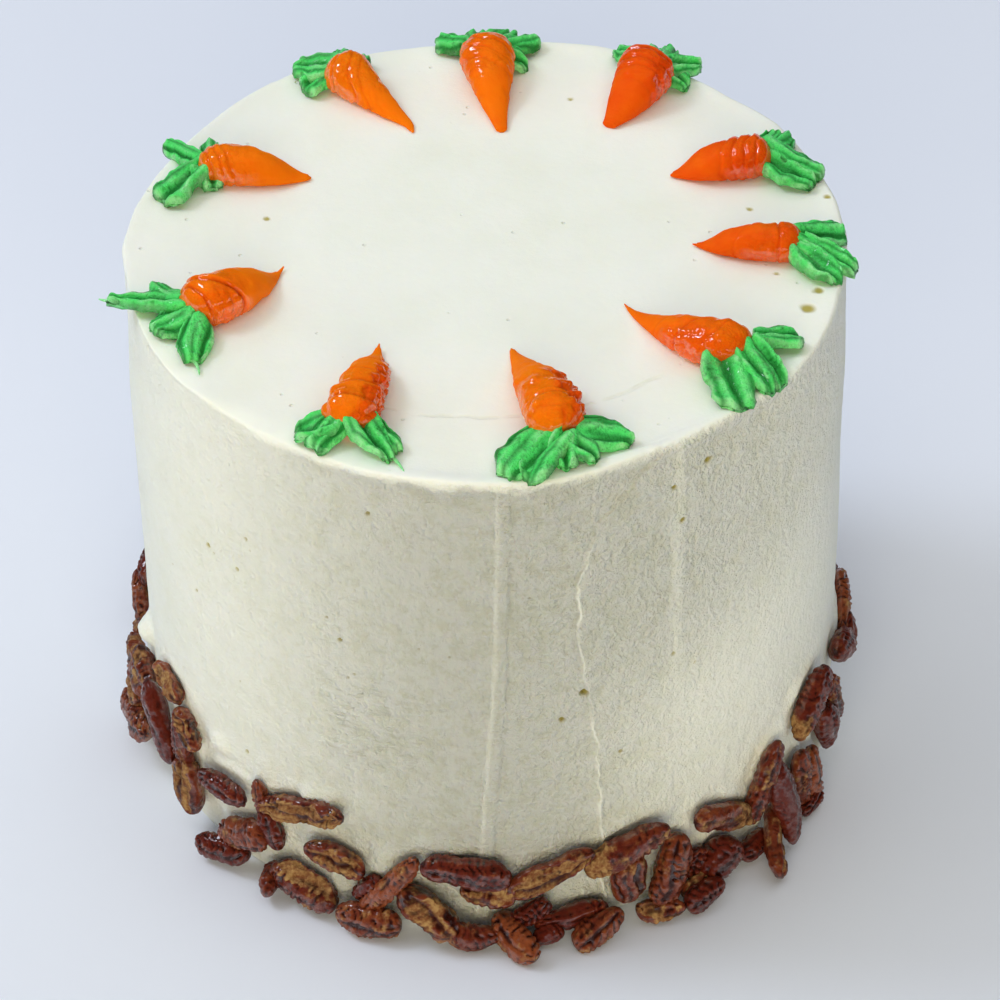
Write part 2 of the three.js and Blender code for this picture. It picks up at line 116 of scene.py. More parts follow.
# Frosting pushed up beside the pecans: azimuth, height, half width, half height, how far
PUSHED_LUMPS = [
    (-29.5, 38.5, 6.5, 3.0, 3.2), (-18.0, 20.0, 5.0, 6.5, 3.0), (53.0, 33.0, 8.0, 5.0, 2.2),
    (-77.5, 42.5, 4.5, 4.0, 3.6), (-61.5, 37.0, 5.0, 4.0, 2.4), (80.0, 33.0, 6.0, 4.0, 2.0),
    (-50.5, 37.0, 4.5, 3.5, 1.6), (-8.0, 30.0, 7.0, 2.5, 1.6), (-70.0, 22.0, 5.0, 9.0, 2.6),
]

# Azimuths at which the last stroke's edge (the flap) and the joint band (the seam) run up
# the side, and the column of the frosting's mesh that follows each; the faint ridge to
# their right runs nearly straight up
FLAP_HEIGHTS = [0, 28, 63, 83, 101, 123, 141, 156, 160]
FLAP_TURNS = [16.9, 16.9, 16.4, 14.9, 13.3, 13.3, 16.9, 26.6, 28.6]
FLAP_COLUMN = 15
SEAM_HEIGHTS = [0, 28, 90, 158]
SEAM_TURNS = [-2.5, -1.5, 1.1, 2.1]
SEAM_COLUMN = 1
RIDGE_TURN = 30.4

# Each carrot: tip and crown lie on the top; bow is the bend to the left of the way from
# tip to crown; point is the share of the length that is a thin drawn-out end, and flick is
# how far that runs to the left and up; ripe goes from yellow to red orange; girth holds
# the half widths from the point to the crown; ring is spacing, depth, slant and side of
# the ridges; coarse is the knobbly side, how rough it is and from which share of the
# length; folds are deep creases (place along, depth, slant; where the depth is below zero
# the side towards the tip stands up); knobs are lumps (place along, turn round, size)
CARROTS = [
    dict(tip=(6, -42.5), crown=(18.5, -82), bow=0.5, point=0.02, flick=(0.4, 0), ripe=0.22,
         girth=(0.5, 3.5, 5.9, 7.3, 7.4), ring=(3.9, 0.20, -1.6, 0.2), coarse=(1, 1.0, 0.48),
         folds=[(0.63, 0.2, -2.0), (0.80, 0.3, -2.0), (0.92, 0.3, -1.5)],
         knobs=[(0.41, 72, 1.0), (0.53, 80, 1.3), (0.66, 72, 1.4), (0.60, -20, 0.6), (0.70, 15, 0.8),
                (0.78, 55, 1.2), (0.86, -40, 0.9), (0.47, -75, 0.7)]),
    dict(tip=(35.5, -25.5), crown=(66, -51), bow=-3.0, point=0.05, flick=(0.5, 0.3), ripe=0.42,
         girth=(0.5, 2.6, 5.0, 6.6, 7.0), ring=(3.6, 0.20, -2.5, -0.6), coarse=(-1, 0.45, 0.45),
         folds=[(0.45, 0.35, -3.5), (0.64, 1.1, -2.5), (0.84, 0.4, -2.0)],
         knobs=[(0.55, 10, 0.8), (0.66, -50, 0.7), (0.82, 25, 1.0), (0.88, -30, 0.7)]),
    dict(tip=(54.5, -0.5), crown=(83, -5), bow=-1.0, point=0.04, flick=(0, 0.5), ripe=0.66,
         girth=(0.5, 4.0, 4.9, 5.5, 5.4), ring=(2.4, 0.10, -2.5, -0.4), coarse=(-1, 0.12, 0.4),
         folds=[(0.50, 0.30, -3.0), (0.78, 0.7, 1.0)]),
    dict(tip=(50, 30), crown=(77, 34), bow=-0.8, point=0.03, flick=(0, 0.2), ripe=0.7,
         girth=(0.9, 4.8, 5.6, 6.1, 5.6), ring=(2.8, 0.08, -2.5, 0), coarse=(-1, 0.1, 0.5),
         folds=[(0.56, 0.6, -3.0), (0.68, 0.65, -3.0), (0.79, 0.7, -3.0), (0.9, 0.5, -2.5)]),
    dict(tip=(34, 52.5), crown=(47, 77.5), bow=-1.4, point=0.01, flick=(0, 0), ripe=0.72,
         girth=(1.8, 4.8, 6.7, 7.9, 6.8), ring=(2.3, 0.20, 0.6, -0.2), coarse=(-1, 0.3, 0.4),
         folds=[(0.42, 0.3, 0.5), (0.56, 0.6, 0.5), (0.67, 0.6, 0.8), (0.80, 0.7, 0.8)],
         knobs=[(0.55, -40, 0.6)]),
    dict(tip=(5, 51), crown=(0.7, 86.5), bow=0.5, point=0.02, flick=(0, 0), ripe=0.30,
         girth=(1.5, 3.3, 5.6, 7.6, 6.8), ring=(2.9, 0.34, -4.0, 0.8), coarse=(1, 0.14, 0.5),
         folds=[(0.60, 0.45, -4.0), (0.72, 0.5, -4.0), (0.83, 0.5, -4.0)]),
    dict(tip=(-18, 52.5), crown=(-41, 78), bow=0.6, point=0.05, flick=(1.6, 0.2), ripe=0.12,
         girth=(1.0, 2.7, 4.4, 6.5, 6.4), ring=(2.8, 0.30, 6.0, 0.8), coarse=(1, 0.12, 0.5),
         folds=[(0.62, 0.4, 6.0), (0.74, 0.5, 6.0), (0.90, 0.6, 4.0)]),
    dict(tip=(-46.5, 31), crown=(-77, 34), bow=0.6, point=0.03, flick=(0, 0.4), ripe=0.18,
         girth=(1.0, 4.2, 5.5, 6.0, 5.0), ring=(2.2, 0.08, 3.0, 0.5), coarse=(1, 0.12, 0.5),
         folds=[(0.74, 0.35, 3.0), (0.81, 0.4, 3.0), (0.90, 0.6, 2.0)]),
    dict(tip=(-52.5, -8.5), crown=(-77, -30), bow=2.2, point=0.08, flick=(-0.4, 1.0), ripe=0.25,
         girth=(0.7, 4.6, 6.2, 7.2, 6.6), ring=(2.4, 0.0, -3.0, 0.6), coarse=(1, 0.45, 0.6),
         folds=[(0.735, -1.4, 4.2), (0.93, 1.2, 0.5)]),
    dict(tip=(-27.5, -42), crown=(-35.5, -78), bow=0.8, point=0.03, flick=(0.2, 2.0), ripe=0.22,
         girth=(0.5, 4.4, 5.8, 6.3, 6.8), ring=(4.4, 0.16, 0.6, 0.2), coarse=(1, 0.95, 0.16),
         folds=[(0.30, 0.5, 0.8), (0.48, 0.6, 1.0), (0.66, 0.7, 1.0), (0.83, 0.7, 0.5)],
         knobs=[(0.72, -60, 0.8), (0.82, -30, 1.0), (0.90, -78, 0.9), (0.92, -35, 0.9)]),
]

# Each leaf: root, tip, full width, how far the root rises, depth of the fold (below zero
# where the middle stands up), outline, and how far its end hangs over the rim
TUFTS = [
    [((13, -81), (4.5, -94.5), 13, 6, -0.7, "round", 0.3),
     ((17, -83.5), (9.8, -95.5), 9.5, 6.5, 1.2, "ribbon", 0.35),
     ((19.5, -84), (18.8, -91), 7.5, 6.5, 1.0, "ribbon", 0.2),
     ((21.5, -83.5), (26.5, -89), 8, 6, 1.0, "round", 0.2),
     ((24, -79), (36.3, -81.6), 11, 5.5, -0.7, "point", 0),
     ((17, -81), (9, -80.5), 4.5, 7.5, -0.5, "ribbon", 0)],
    [((60.5, -51), (63, -69.5), 12, 7, 1.2, "ribbon", 0.35),
     ((65.5, -51.5), (71, -63), 7, 8, 1.2, "ribbon", 0.3),
     ((68, -49.5), (74.5, -61), 6.5, 7.5, 1.2, "ribbon", 0.3),
     ((70, -45), (80, -42), 10, 6.5, 1.1, "fan", 0)],
    [((80.5, -2), (94.5, 2.5), 10, 7, -1.0, "fan", 0), ((81, -6), (91, -5), 7.5, 7.5, -1.0, "round", 0),
     ((84, -7), (97, -14), 7, 6, 1.0, "ribbon", 0.4),
     ((82, -9), (92.5, -18), 10, 6, 1.3, "round", 0.3)],
    [((74.5, 35), (79, 46), 6.5, 7, -0.8, "ribbon", 0),
     ((77, 36), (91.5, 28), 8.5, 7, -1.0, "ribbon", 0),
     ((75.5, 31.5), (88.5, 23.5), 10, 6, 1.2, "round", 0),
     ((77, 36), (83.5, 44), 6.5, 7, -0.8, "ribbon", 0)],
    [((46, 77), (37, 86), 8.5, 7, 1.0, "round", 0),
     ((47.5, 77), (47.5, 87), 7.5, 7.5, -1.0, "ribbon", 0),
     ((49, 77), (53, 86.5), 6.5, 7.5, -1.0, "ribbon", 0),
     ((50, 75), (61, 77.5), 9, 6.5, 1.2, "point", 0),
     ((50.5, 73), (56.5, 69), 8, 5.5, 1.0, "round", 0)],
    [((-1, 86), (-12, 93), 9, 7, -0.9, "fan", 0), ((0, 86), (-1, 96), 9, 7.5, 1.0, "round", 0),
     ((2.5, 86), (7.5, 96), 9, 7.5, 1.0, "round", 0), ((4, 85), (15, 92.5), 8.5, 7, -0.9, "ribbon", 0),
     ((4.5, 84), (12.5, 80), 7.5, 5.5, 1.0, "round", 0)],
    [((-39, 77), (-32.5, 84.5), 6.5, 7, -0.8, "ribbon", 0),
     ((-40, 77), (-39.5, 88), 7, 7, -0.9, "ribbon", 0),
     ((-40, 77), (-53, 79.5), 12, 7, 1.2, "round", 0), ((-41, 74.5), (-50, 70.5), 9, 6, 1.0, "fan", 0)],
    [((-75, 33.5), (-86.5, 45.5), 6.5, 6.5, -1.0, "ribbon", 0),
     ((-75, 34.5), (-74, 46), 6.5, 6.5, -1.0, "ribbon", 0),
     ((-74.5, 32), (-87, 21.5), 12, 6.5, 1.3, "fan", 0),
     ((-75, 31), (-73, 25.5), 7.5, 5, 0.8, "ribbon", 0)],
    [((-78, -27), (-98, -21.5), 8, 6, 1.1, "point", 0),
     ((-80, -25), (-86.5, -16.5), 7.5, 5.5, -0.9, "round", 0),
     ((-76, -27.5), (-81, -27), 7, 7, -1.0, "round", 0),
     ((-77, -30.5), (-85.5, -35.5), 10.5, 6, -1.0, "round", 0),
     ((-74.5, -35), (-74.3, -47.5), 9, 6, -1.0, "round", 0)],
    [((-37.5, -74), (-48, -77.5), 10.5, 6.5, 1.3, "round", 0.1),
     ((-36.5, -73.5), (-43.5, -82.5), 8, 8.5, -0.9, "ribbon", 0.15),
     ((-34, -73), (-23.5, -87), 9.5, 8.5, 1.5, "point", 0.2),
     ((-31, -72), (-21.5, -83.5), 5.5, 7, -0.7, "ribbon", 0.1)],
]

# Thin drawn-out ends of leaves: number of the tuft, from, to
LEAF_TAILS = [
    (9, (-74.3, -47.0), (-73.0, -51.5)), (10, (-24.0, -85.0), (-20.7, -90.7)),
    (9, (-97, -21.4), (-100.5, -19.9)),
]

# Half width of each outline at a share u of the leaf's length
LEAF_FORMS = {
    "round": lambda u: np.sin(np.pi * (0.16 + 0.66 * u)) ** 0.7,
    "ribbon": lambda u: 0.76 + 0.24 * np.sin(np.pi * (0.2 + 0.6 * u)),
    "point": lambda u: 0.22 + 0.78 * np.sin(np.pi * (0.3 + 0.62 * u)),
    "fan": lambda u: 0.45 + 0.55 * np.sqrt(u),
}

# How a pecan looks: tone of its skin (0 dark red to 1 orange brown), flesh showing in
# patches, and the depth of its lengthwise grooves, of the ribs across it and of its lumps;
# cut is which way a cut face looks (degrees from outwards, up is positive when the pecan
# lies level) and how deep it is; tip is where a bare end starts and where it is all bare
Look = namedtuple("Look", "tone patches grooves ribs lumps cut tip", defaults=(None, None))
LOOKS = {
    "dark": Look(0.15, 0.0, 0.7, 1.0, 0.4),
    "plum": Look(0.05, 0.0, 0.3, 0.6, 0.3),
    "red": Look(0.35, 0.1, 0.6, 0.9, 0.5),
    "brown": Look(0.6, 0.15, 0.7, 1.1, 0.5),
    "rust": Look(0.95, 0.1, 0.4, 1.2, 0.45),
    "chunk": Look(0.5, 0.4, 0.4, 0.6, 1.1, cut=(20, 0.75)),
    "tan": Look(0.7, 0.7, 0.35, 0.3, 1.0, cut=(15, 0.55)),
    "topcut": Look(0.3, 0.05, 0.5, 1.1, 0.5, cut=(72, 0.72)),
    "lowcut": Look(0.35, 0.1, 0.5, 0.9, 0.6, cut=(-8, 0.3)),
    "gold": Look(0.3, 0.1, 0.3, 1.3, 0.5, tip=(0.42, 0.2)),
    "tipped": Look(0.2, 0.0, 0.6, 1.0, 0.6, tip=(0.36, 0.2)),
    "half": Look(0.5, 0.1, 0.4, 0.7, 0.9, tip=(0.44, 0.6)),
    "slots": Look(0.5, 0.35, 1.3, 0.3, 0.6),
    "face": Look(0.45, 0.15, 0.5, 0.5, 0.6, cut=(5, 0.5)),
}

# A pecan's lengthwise grooves: turn round it in radians, depth, width
PECAN_GROOVES = [(0, 1.0, 0.17), (0.72, 0.45, 0.13), (-0.76, 0.45, 0.13),
                 (1.4, 0.4, 0.15), (-1.4, 0.4, 0.15)]

# Each pecan: azimuth, height of its middle, turn of its long axis anticlockwise from
# level, length, width, how far its middle stands off, lean of its leading end outwards,
# and look. A cluster is a group of pecans that touch.
FRONT_CLUSTERS = [
    [(-97, 37.2, -8, 15, 6.8, 2.6, 0, "dark"), (-93.2, 29, -62, 19, 7.5, 3.6, -8, "brown"),
     (-92, 22, 0, 10, 6, 4.6, 0, "tan")],
    [(-83, 25, 10, 17, 7.5, 5.2, 0, "chunk"), (-74.5, 33, -20, 14, 8.5, 3.8, 0, "chunk"),
     (-77, 26, 20, 18, 8.5, 4.8, 0, "chunk"), (-79.2, 18.4, 12, 15, 8.5, 6, 0, "tan"),
     (-77.2, 11.6, 16, 25, 10.8, 6.2, 0, "brown")],
    [(-63.5, 44, 0, 16.5, 7.5, 2.6, 0, "tan")],
    [(-65, 27.8, -55, 25, 8.8, 5, 0, "plum")],
    [(-56.7, 36.4, -45, 13.5, 8, 3.8, 0, "chunk"), (-58.4, 27.6, -80, 18, 6.8, 3.8, 0, "red"),
     (-56.6, 15.4, -75, 18, 10.8, 4.7, 0, "face")],
    [(-47.9, 26, 9, 20, 7.5, 4, 0, "dark")],
    [(-39.5, 29.2, -84, 16, 4.8, 3.3, 0, "brown"), (-37.4, 21, -70, 13, 6.8, 3.6, 0, "dark"),
     (-31.5, 33.8, 18, 29.5, 8.4, 3.9, 0, "lowcut")],
    [(-42.8, 14.9, 27, 20, 9.4, 5.2, 0, "brown"), (-46.6, 6, 10, 17.5, 8.6, 6.8, -20, "dark")],
    [(-36.8, 5.2, 0, 12, 7, 6.4, 66, "red"), (-31, 7, -14, 21.5, 10.8, 5, 0, "topcut")],
    [(-25.6, 21, -9, 18.5, 8.8, 4, 0, "face")],
    [(-16.3, 18, 54, 27, 6.2, 5, -6, "rust"), (-20, 13.5, 46, 12, 7, 3.8, 0, "dark"),
     (-19.4, 5.2, 0, 19, 10.3, 7.2, 0, "brown")],
    [(-10, 11, -38, 20.5, 11, 6, 10, "chunk")],
    [(-4.4, 25.9, -9, 25, 9.5, 4.2, 0, "dark"), (-1.1, 18.6, -14, 15.5, 8, 4.4, 0, "chunk"),
     (8.3, 24.6, 27, 27.5, 8.4, 4.5, 0, "face")],
    [(-3.3, 4.7, 0, 15, 8, 7.2, 0, "red"), (2.8, 5.4, -30, 17.3, 9.4, 8.6, 48, "rust"),
     (5.3, 10.6, 35, 13, 7, 5, 0, "dark")],
    [(11.6, 7.2, 7, 21, 8, 5, 0, "dark"), (7.8, 4, 20, 9, 6, 7.5, 0, "plum"),
     (15.2, 4.9, 26, 16.5, 9, 8.8, -15, "brown")],
    [(20.5, 28, 19, 26, 9.4, 4.5, 0, "gold"), (20.8, 16.8, 86, 17, 10.2, 4.6, 0, "slots")],
    [(27.6, 15.6, 65, 22, 10.8, 5.5, -12, "brown"), (25.3, 4.5, -7, 14, 7, 7.8, 20, "chunk")],
    [(33, 11, 80, 12, 5.5, 4, 0, "dark"), (37.1, 9.4, 45, 14.5, 12, 5.3, 0, "dark"),
     (32.4, 5.2, 0, 10.5, 7.5, 6.4, 0, "tan"), (32.4, 5, 20, 13, 9, 10, 0, "dark")],
    [(39.2, 21.9, -28, 26, 8.5, 4, 0, "half"), (47.3, 25.4, 64, 26.5, 8.1, 4.2, 0, "red")],
    [(50.6, 15.4, 89, 28, 8.6, 7, -18, "plum"), (47.2, 7, -155, 23, 8.5, 9.5, 42, "face"),
     (45, 5, 10, 12, 7.5, 5, 0, "dark")],
    [(57.4, 13.8, 94, 22, 7.8, 4.6, 0, "brown"), (60.8, 9.8, 84, 19, 7.8, 4.8, -8, "rust"),
     (58.6, 3.6, 10, 10, 6, 7, 0, "dark")],
    [(60.5, 37.5, 40, 22.5, 9.6, 4, 0, "tipped")],
    [(70.1, 24, 106, 24, 7.2, 4, 0, "red"), (67.3, 18.6, 102, 19, 8.8, 4.1, 0, "dark")],
    [(77.8, 32.8, -32, 21, 8.8, 3.6, 0, "red"), (83.8, 27, 80, 15, 7.6, 4.5, 0, "red"),
     (88, 33.5, 8, 23, 6, 2.9, 0, "rust")],
]

# The clusters round the back: how many, the azimuths between which they lie, and looks
BACK_CLUSTERS = 14
BACK_START = 99
BACK_END = 256
BACK_LOOKS = ["dark", "brown", "rust", "red", "chunk", "plum", "face", "topcut", "brown", "dark"]

# Each lamp: name, place, what it looks at, size, watts, colour, and whether the glossy
# pieces mirror it; lengths in metres
LAMPS = [
    ("window", (-2.9, 0.9, 3.0), (0, 0, 0.08), 5.0, 24.92, (0.960, 0.978, 1.000), False),
    ("window_low", (-2.8, 0.2, 1.3), (0, 0, 0.08), 2.2, 10.81, (0.908, 0.946, 1.000), False),
    ("window_pane", (-1.9, 0.5, 2.4), (0, 0, 0.16), 0.9, 22.51, (0.765, 0.847, 1.000), True),
    ("ceiling", (0.0, 1.0, 2.5), (0, 0.5, 0.0), 6.0, 80.43, (0.938, 0.964, 1.000), False),
    ("back_wall", (0.8, 2.4, 2.0), (0, 0, 0.08), 3.0, 2.997, (0.906, 0.942, 1.000), False),
    ("front_wall", (-0.1, -2.4, 0.8), (0, 0, 0.08), 2.2, 46.5, (1.000, 0.900, 0.680), False),
    ("table_glow", (1.7, -0.3, 0.35), (0, -0.02, 0.06), 0.9, 1.688, (0.704, 0.798, 1.000), False),
]

# The camera's place in metres and its sensor's width, half the width of the floor, and
# the colour that shows past it
CAMERA_PLACE = (0.002894, -0.870566, 0.829568)
SENSOR_WIDTH = 36
FLOOR_REACH = 3000
BACKDROP = (0.75, 0.78, 0.84, 1)


# ------------------------------------------------------------------ numbers


def smooth_step(start, end, value):
    """0 at start and 1 at end, either way round, with a smooth change between them."""
    t = np.clip((np.asarray(value, float) - start) / (end - start), 0, 1)
    return t * t * (3 - 2 * t)


def dome(value, width):
    """1 where value is zero, falling off evenly on both sides over about width."""
    return np.exp(-((np.asarray(value, float) / width) ** 2))


def window(value, start, full, less, end):
    """1 where value is from full to less, and 0 before start and after end."""
    return smooth_step(start, full, value) * smooth_step(end, less, value)


def nearest_turn(angle, full=360):
    """The same angle between minus and plus half a full turn."""
    return (np.asarray(angle, float) + full / 2) % full - full / 2


def random_stream(seed):
    """One stream of repeatable random numbers between 0 and 1, the same as the solids use."""
    state = seed
    while True:
        state = state * 16807 % 2147483647
        yield state / 2147483647


def cell_value(cell):
    """A repeatable number between -1 and 1 for each whole-numbered cell (..., 3)."""
    mix = cell[..., 0] * 73856093 ^ cell[..., 1] * 19349663 ^ cell[..., 2] * 83492791
    mix = (mix ^ mix >> 13) * 1274126177 & 0x7FFFFFFF
    mix = mix ^ mix >> 16
    return (mix & 0xFFFF) / 32767.5 - 1


def bumps(points, spacing, seed=0):
    """Smooth random heights between -1 and 1 at points (..., 3), a bump every spacing.

    The spacing is one number, or one for each direction.
    """
    place = np.asarray(points, float) / np.asarray(spacing, float) + seed * 7.31 + 500
    cell = np.floor(place).astype(np.int64)
    part = place - cell
    part = part**3 * (part * (part * 6 - 15) + 10)
    total = np.zeros(place.shape[:-1])
    for corner in range(8):
        step = np.array([corner & 1, corner >> 1 & 1, corner >> 2 & 1])
        total += cell_value(cell + step) * np.prod(np.where(step, part, 1 - part), axis=-1)
    return total


def pebbles(points, spacing, seed=0):
    """Round pebbles lying close together: 1 on top of each, 0 in the gaps between them."""
    place = np.asarray(points, float) / spacing + seed * 5.17 + 300
    cell = np.floor(place).astype(np.int64)
    nearest = np.full(place.shape[:-1], 9.0)
    for corner in range(27):
        near = cell + np.array([corner % 3, corner // 3 % 3, corner // 9]) - 1
        centre = near + 0.5 + 0.36 * np.stack([cell_value(near + 17 * k) for k in (1, 2, 3)], -1)
        nearest = np.minimum(nearest, ((place - centre) ** 2).sum(-1))
    return np.sqrt(np.clip(1 - nearest / 0.42, 0, 1))


def rough(points, spacing, seed=0, rounds=3):
    """Bumps with finer ones on them, each round half as wide and half as high."""
    spacing = np.asarray(spacing)
    return sum(bumps(points, spacing / 2**k, seed + k) / 2**k for k in range(rounds))


# ------------------------------------------------------------------ places


def outwards(azimuth):
    """The level direction away from the cake's axis at an azimuth in degrees."""
    angle = np.radians(azimuth)
    return np.stack([np.sin(angle), -np.cos(angle), np.zeros_like(angle)], -1)


def side_radius(azimuth, height, sizes):
    """Radius of the frosted side, in mm, at an azimuth in degrees, as the solid has it."""
    up = np.clip(np.asarray(height, float) / sizes.height_mm, 0, 1)
    straight = sizes.radius_mm + FOOT_SPREAD * (1 - up)
    return straight + RIM_WAVE * np.cos(RIM_WAVES_ROUND * np.radians(azimuth)) * (0.25 + 0.75 * up)


def solid_radius(azimuth, height, sizes):
    """The same with the solid's own flap and joint, which the pecans were set against."""
    turn = nearest_turn(azimuth)
    edge = 15 + 1.8 * np.sin(np.asarray(height, float) / 24)
    flap = 0.7 * smooth_step(-1.5, 1.5, turn - edge) * (1 - smooth_step(24, 44, turn))
    joint = 0.35 * (1 - smooth_step(1, 3.5, np.abs(turn)))
    return side_radius(azimuth, height, sizes) + flap + joint


def reach_and_side(place, height, sizes):
    """How far places are from the axis, and the frosting's radius beside them at a height."""
    azimuth = np.degrees(np.arctan2(place[..., 0], -place[..., 1]))
    return np.hypot(place[..., 0], place[..., 1]), side_radius(azimuth, height, sizes)


def on_the_way(start, end, run, across, height):
    """Points at run mm from start towards end, across mm to the left of that way."""
    way = (end - start) / np.linalg.norm(end - start)
    x = start[0] + way[0] * run - way[1] * across
    y = start[1] + way[1] * run + way[0] * across
    return np.stack([x, y, height], -1)


def eased_shares(rows, margin, ease):
    """Shares from margin to 1 - margin, closer together at the ends the greater ease is."""
    even = np.linspace(margin, 1 - margin, rows)
    return ease * (1 - np.cos(np.pi * even)) / 2 + (1 - ease) * even


def ring_grid(shares, around):
    """(share along, turn round) of every point of the rings at the given shares."""
    return np.meshgrid(shares, np.linspace(0, FULL_TURN, around, endpoint=False), indexing="ij")


# ------------------------------------------------------------------ meshes


@contextmanager
def edited(piece):
    """The piece's mesh open for editing; it is written back smooth-shaded afterwards."""
    body = bmesh.new()
    body.from_mesh(piece.data)
    yield body
    body.to_mesh(piece.data)
    body.free()
    piece.data.shade_smooth()


def grid_faces(rows, columns, closed=False):
    """Quads between rows of points; closed joins the last column to the first."""
    row, column = np.meshgrid(np.arange(rows - 1), np.arange(columns - (not closed)), indexing="ij")
    after = (column + 1) % columns
    corners = [row * columns + column, row * columns + after,
               (row + 1) * columns + after, (row + 1) * columns + column]
    return np.stack([c.ravel() for c in corners], axis=1)


def build_mesh(name, points, faces, marks=None):
    """A smooth-shaded object from points in mm, with a float attribute for each mark."""
    mesh = bpy.data.meshes.new(name)
    corners = [tuple(point) for point in np.asarray(points, float) * MM]
    mesh.from_pydata(corners, [], [tuple(face) for face in faces])
    mesh.update()
    mesh.shade_smooth()
    for mark, values in (marks or {}).items():
        layer = mesh.attributes.new(mark, "FLOAT", "POINT")
        layer.data.foreach_set("value", np.asarray(values, np.float32).ravel())
    piece = bpy.data.objects.new(name, mesh)
    bpy.context.scene.collection.objects.link(piece)
    return piece


def capped_tube(rings):
    """Faces that close rings (rows, around, 3) into one body, with a point at each end."""
    rows, around = rings.shape[:2]
    points = np.concatenate([rings.reshape(-1, 3), rings[0].mean(0)[None], rings[-1].mean(0)[None]])
    faces = grid_faces(rows, around, closed=True).tolist()
    first, last = rows * around, rows * around + 1
    for i in range(around):
        after = (i + 1) % around
        faces.append((first, after, i))
        faces.append((last, (rows - 1) * around + i, (rows - 1) * around + after))
    return points, faces


def joined_tubes(name, tubes):
    """One closed object of several tubes, each its rings and its marks.

    A mark is one value for the whole tube, or a value for each point of the rings
    followed by those of the first and the last end.
    """
    points, faces, marks, count = [], [], {}, 0
    for rings, tube_marks in tubes:
        tube_points, tube_faces = capped_tube(rings)
        points.append(tube_points)
        faces += [[corner + count for corner in face] for face in tube_faces]
        count += len(tube_points)
        for mark, value in tube_marks.items():
            if isinstance(value, tuple):
                value = np.append(value[0].ravel(), value[1:])
            marks.setdefault(mark, []).append(np.broadcast_to(value, len(tube_points)))
    marks = {mark: np.concatenate(values) for mark, values in marks.items()}
    piece = build_mesh(name, np.concatenate(points), faces, marks)
    with edited(piece) as body:
        bmesh.ops.recalc_face_normals(body, faces=body.faces)
    return piece


def finish_piece(piece, material, node):
    """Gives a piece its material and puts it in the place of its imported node."""
    piece.data.materials.append(material)
    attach(piece, BODY)
    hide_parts(node)


# ------------------------------------------------------------------ materials


class Wire:
    """The output of a shader node; sums and products of wires add the Math nodes."""

    def __init__(self, finish, output):
        self.finish, self.output = finish, output

    def _maths(self, operation, *values):
        return self.finish.node("ShaderNodeMath", {"operation": operation}, dict(enumerate(values)))

    def __add__(self, other):
        return self._maths("ADD", self, other)

    def __sub__(self, other):
        return self._maths("SUBTRACT", self, other)

    def __rsub__(self, other):
        return self._maths("SUBTRACT", other, self)

    def __mul__(self, other):
        return self._maths("MULTIPLY", self, other)

    __radd__ = __add__
    __rmul__ = __mul__

    def size(self):
        """The value without its sign."""
        return self._maths("ABSOLUTE", self)

    def between(self, start, end):
        """0 at start and 1 at end, with a smooth change."""
        return self.finish.node(
            "ShaderNodeMapRange", {"interpolation_type": "SMOOTHSTEP"},
            {"Value": self, "From Min": start, "From Max": end})


class Finish:
    """A material being made on the Principled shader; fixed values go on its own sockets."""

    def __init__(self, name, **fixed):
        self.material = bpy.data.materials.new(name)
        self.material.use_nodes = True
        self.tree = self.material.node_tree
        self.shader = self.tree.nodes["Principled BSDF"]
        for socket, value in fixed.items():
            self.feed(socket.replace("_", " "), value)

    def node(self, kind, settings=None, inputs=None, output=0):
        """Adds a node of a kind, its settings first, then the values or wires it is fed."""
        made = self.tree.nodes.new(kind)
        for key, value in (settings or {}).items():
            setattr(made, key, value)
        for key, value in (inputs or {}).items():
            self._feed(made.inputs[key], value)
        return Wire(self, made.outputs[output])

    def _feed(self, socket, value):
        if isinstance(value, Wire):
            self.tree.links.new(value.output, socket)
        else:
            socket.default_value = value

    def feed(self, socket, value):
        """Feeds a socket of the shader from a value or a wire."""
        self._feed(self.shader.inputs[socket], value)

    def mark(self, name):
        """One of the piece's own marks."""
        return self.node("ShaderNodeAttribute", {"attribute_name": name}, output="Fac")

    def place(self, stretch=(1, 1, 1)):
        """Position on the object in mm, squeezed by stretch."""
        where = self.node("ShaderNodeTexCoord", output="Object")
        scale = tuple(s / MM for s in stretch)
        return self.node("ShaderNodeVectorMath", {"operation": "MULTIPLY"}, {0: where, 1: scale})

    def noise(self, size, detail=2.0, stretch=(1, 1, 1), warp=0.0, roughness=0.5):
        """Noise between 0 and 1 with features of about size mm."""
        return self.node(
            "ShaderNodeTexNoise", None,
            {"Vector": self.place(stretch), "Scale": 1 / size, "Detail": detail,
             "Distortion": warp, "Roughness": roughness})

    def mix(self, share, first, second):
        """A colour between two others, each a wire or its red, green and blue."""
        first, second = (c if isinstance(c, Wire) else (*c, 1.0) for c in (first, second))
        return self.node(
            "ShaderNodeMix", {"data_type": "RGBA"},
            {"Factor": share, "A": first, "B": second}, output="Result")

    def bump(self, height):
        """Feeds the Normal from a height in mm."""
        inputs = {"Height": height, "Distance": MM, "Strength": 1.0}
        self.feed("Normal", self.node("ShaderNodeBump", None, inputs))


def frosting_top_ring(look):
    """The faint ring that the turning scraper left on the top."""
    axis_gap = look.node(
        "ShaderNodeVectorMath", {"operation": "LENGTH"}, {0: look.place((1, 1, 0))}, output="Value")
    wander = (look.noise(14, 2) - 0.5) * 5
    ring = (1 - (axis_gap - RING_RADIUS + wander).size().between(0.2, 0.75)) * look.mark("ring")
    return ring * look.noise(5, 2).between(0.35, 0.6)


